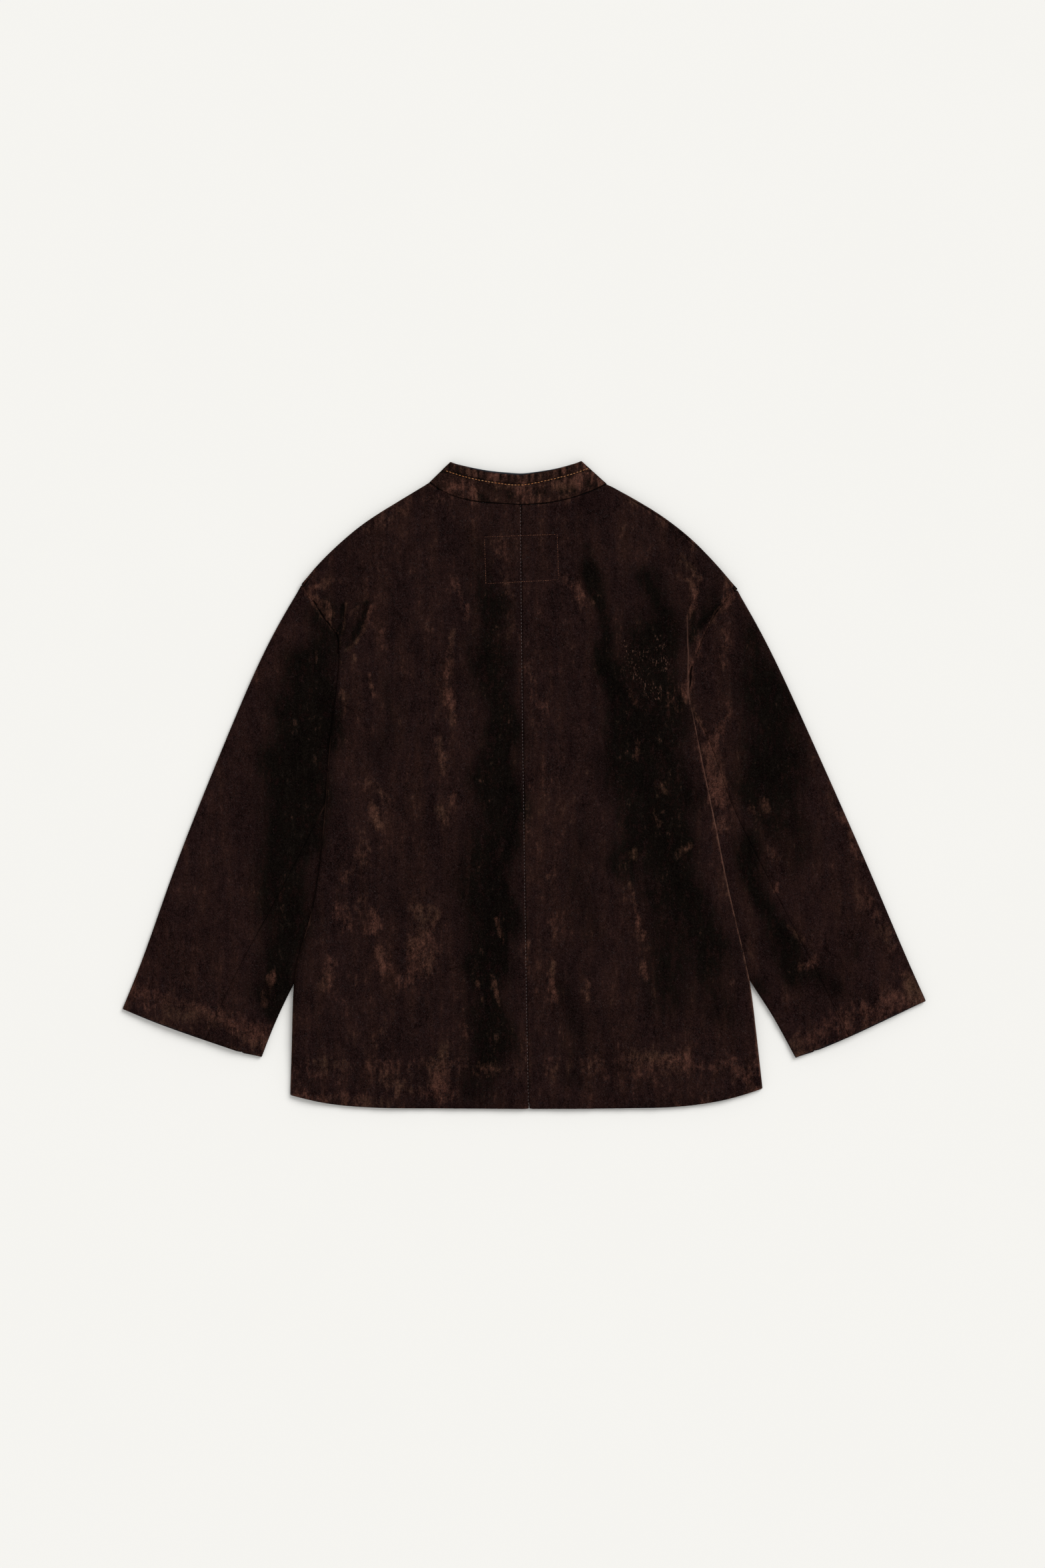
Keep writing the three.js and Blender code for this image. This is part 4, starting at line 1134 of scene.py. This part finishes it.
class JACKET_OT_threads(bpy.types.Operator):
    """Sews the collar's row, the centre seam and the stitched rectangle."""

    bl_idname = "jacket.threads"
    bl_label = "Threads"

    def execute(self, context):
        sizes = context.scene.jacket_threads
        colours = context.scene.jacket_colours
        rust = spun_thread("thread_rust_finish", colours.rust, colours.cream)
        faded = spun_thread("thread_faded_finish", colours.faded, colours.worn)
        pale = spun_thread("thread_pale_finish", colours.pale, colours.pale)
        collar = surface_under([CLOTH["collar"]])
        back = surface_under([CLOTH["back_left"], CLOTH["back_right"]])

        row = bmesh.new()
        for line in (COLLAR_STITCH_LINE, *COLLAR_FRONT_STITCH_LINES):
            add_stitches(
                row, collar, line, sizes.stitch, sizes.stitch_gap, sizes.collar_thread,
                LAID_FROM_ABOVE if line is COLLAR_STITCH_LINE else LAID_FROM_BELOW,
            )
        thread_piece("collar_topstitch", row, rust)

        seam = bmesh.new()
        beside = [(x - SEAM_THREAD_ASIDE, y) for x, y in CENTRE_SEAM_LINE]
        add_stitches(seam, back, beside, sizes.seam_stitch, sizes.seam_gap, sizes.fine_thread)
        thread_piece("centre_seam_stitches", seam, pale)

        box = bmesh.new()
        corners = STITCHED_RECTANGLE
        gap = sizes.seam_gap * RECTANGLE_GAP
        for start, end in zip(corners, corners[1:] + corners[:1]):
            add_stitches(box, back, (start, end), sizes.seam_stitch, gap, sizes.fine_thread)
        thread_piece("label_stitches", box, faded)
        return {"FINISHED"}


class JACKET_OT_stage(bpy.types.Operator):
    """Makes the floor, the lights and the camera straight above."""

    bl_idname = "jacket.stage"
    bl_label = "Stage"

    def execute(self, context):
        settings = context.scene.jacket_stage
        ground = bmesh.new()
        bmesh.ops.create_grid(ground, x_segments=2, y_segments=2, size=FLOOR_HALF_SIZE)
        bmesh.ops.translate(ground, verts=ground.verts, vec=(0.0, 0.0, -FLOOR_CLEARANCE))
        mesh = bpy.data.meshes.new("floor")
        ground.to_mesh(mesh)
        ground.free()
        paper = Finish("floor_finish")
        mottle = paper.noise(paper.place(), 160.0)
        tone = 1.0 + FLOOR_CONTRAST * (mottle - 0.5)
        mesh.materials.append(
            paper.finish_with(
                Base_Color=paper.scaled(opaque(settings.floor), tone),
                Roughness=1.0,
                Specular_IOR_Level=0.0,
            )
        )
        floor = bpy.data.objects.new("floor", mesh)
        context.scene.collection.objects.link(floor)

        light = bpy.data.lights.new("key", "SUN")
        light.angle = settings.key_spread
        light.energy = settings.key_power
        key = bpy.data.objects.new("key", light)
        key.location = KEY_PLACE
        key.rotation_euler = Vector(key.location).to_track_quat("Z", "Y").to_euler()
        context.scene.collection.objects.link(key)

        world = bpy.data.worlds.new("studio")
        world.use_nodes = True
        background = world.node_tree.nodes["Background"]
        background.inputs["Color"].default_value = WORLD_COLOUR
        background.inputs["Strength"].default_value = settings.fill
        context.scene.world = world
        context.scene.view_settings.view_transform = "Standard"

        lens = bpy.data.cameras.new("camera")
        lens.sensor_width = SENSOR_WIDTH
        lens.lens = SENSOR_WIDTH / 2 * settings.view_height / VIEW_HALF_HEIGHT
        camera = bpy.data.objects.new("camera", lens)
        camera.location = (*CAMERA_PLACE, settings.view_height)
        context.scene.collection.objects.link(camera)
        context.scene.camera = camera
        return {"FINISHED"}


class JACKET_PT_panel(bpy.types.Panel):
    """Lists the pieces of the jacket and the stage."""

    bl_idname = "JACKET_PT_panel"
    bl_label = "Jacket"
    bl_space_type = "VIEW_3D"
    bl_region_type = "UI"
    bl_category = "Jacket"

    def draw(self, context):
        for group in GROUPS.values():
            settings = getattr(context.scene, group)
            for name in settings.bl_rna.properties.keys():
                if name not in ("rna_type", "name"):
                    self.layout.prop(settings, name)
        for step in STEPS:
            self.layout.operator(step.bl_idname)


GROUPS = {
    JacketClothSettings: "jacket_cloth",
    JacketThreadSettings: "jacket_threads",
    JacketColourSettings: "jacket_colours",
    JacketStageSettings: "jacket_stage",
}
STEPS = (
    JACKET_OT_stage, JACKET_OT_fronts, JACKET_OT_sleeves, JACKET_OT_back, JACKET_OT_collar,
    JACKET_OT_threads,
)


def register():
    """Makes the settings, the operators and the panel known to Blender."""
    for made in (*GROUPS, *STEPS, JACKET_PT_panel):
        bpy.utils.register_class(made)
    for group, name in GROUPS.items():
        setattr(bpy.types.Scene, name, bpy.props.PointerProperty(type=group))


def unregister():
    """Takes them out again."""
    for name in GROUPS.values():
        delattr(bpy.types.Scene, name)
    for made in reversed((*GROUPS, *STEPS, JACKET_PT_panel)):
        bpy.utils.unregister_class(made)


def main():
    """Makes every piece in order."""
    register()
    bpy.ops.jacket.stage()
    bpy.ops.jacket.fronts()
    bpy.ops.jacket.sleeves()
    bpy.ops.jacket.back()
    bpy.ops.jacket.collar()
    bpy.ops.jacket.threads()


if __name__ == "__main__":
    main()
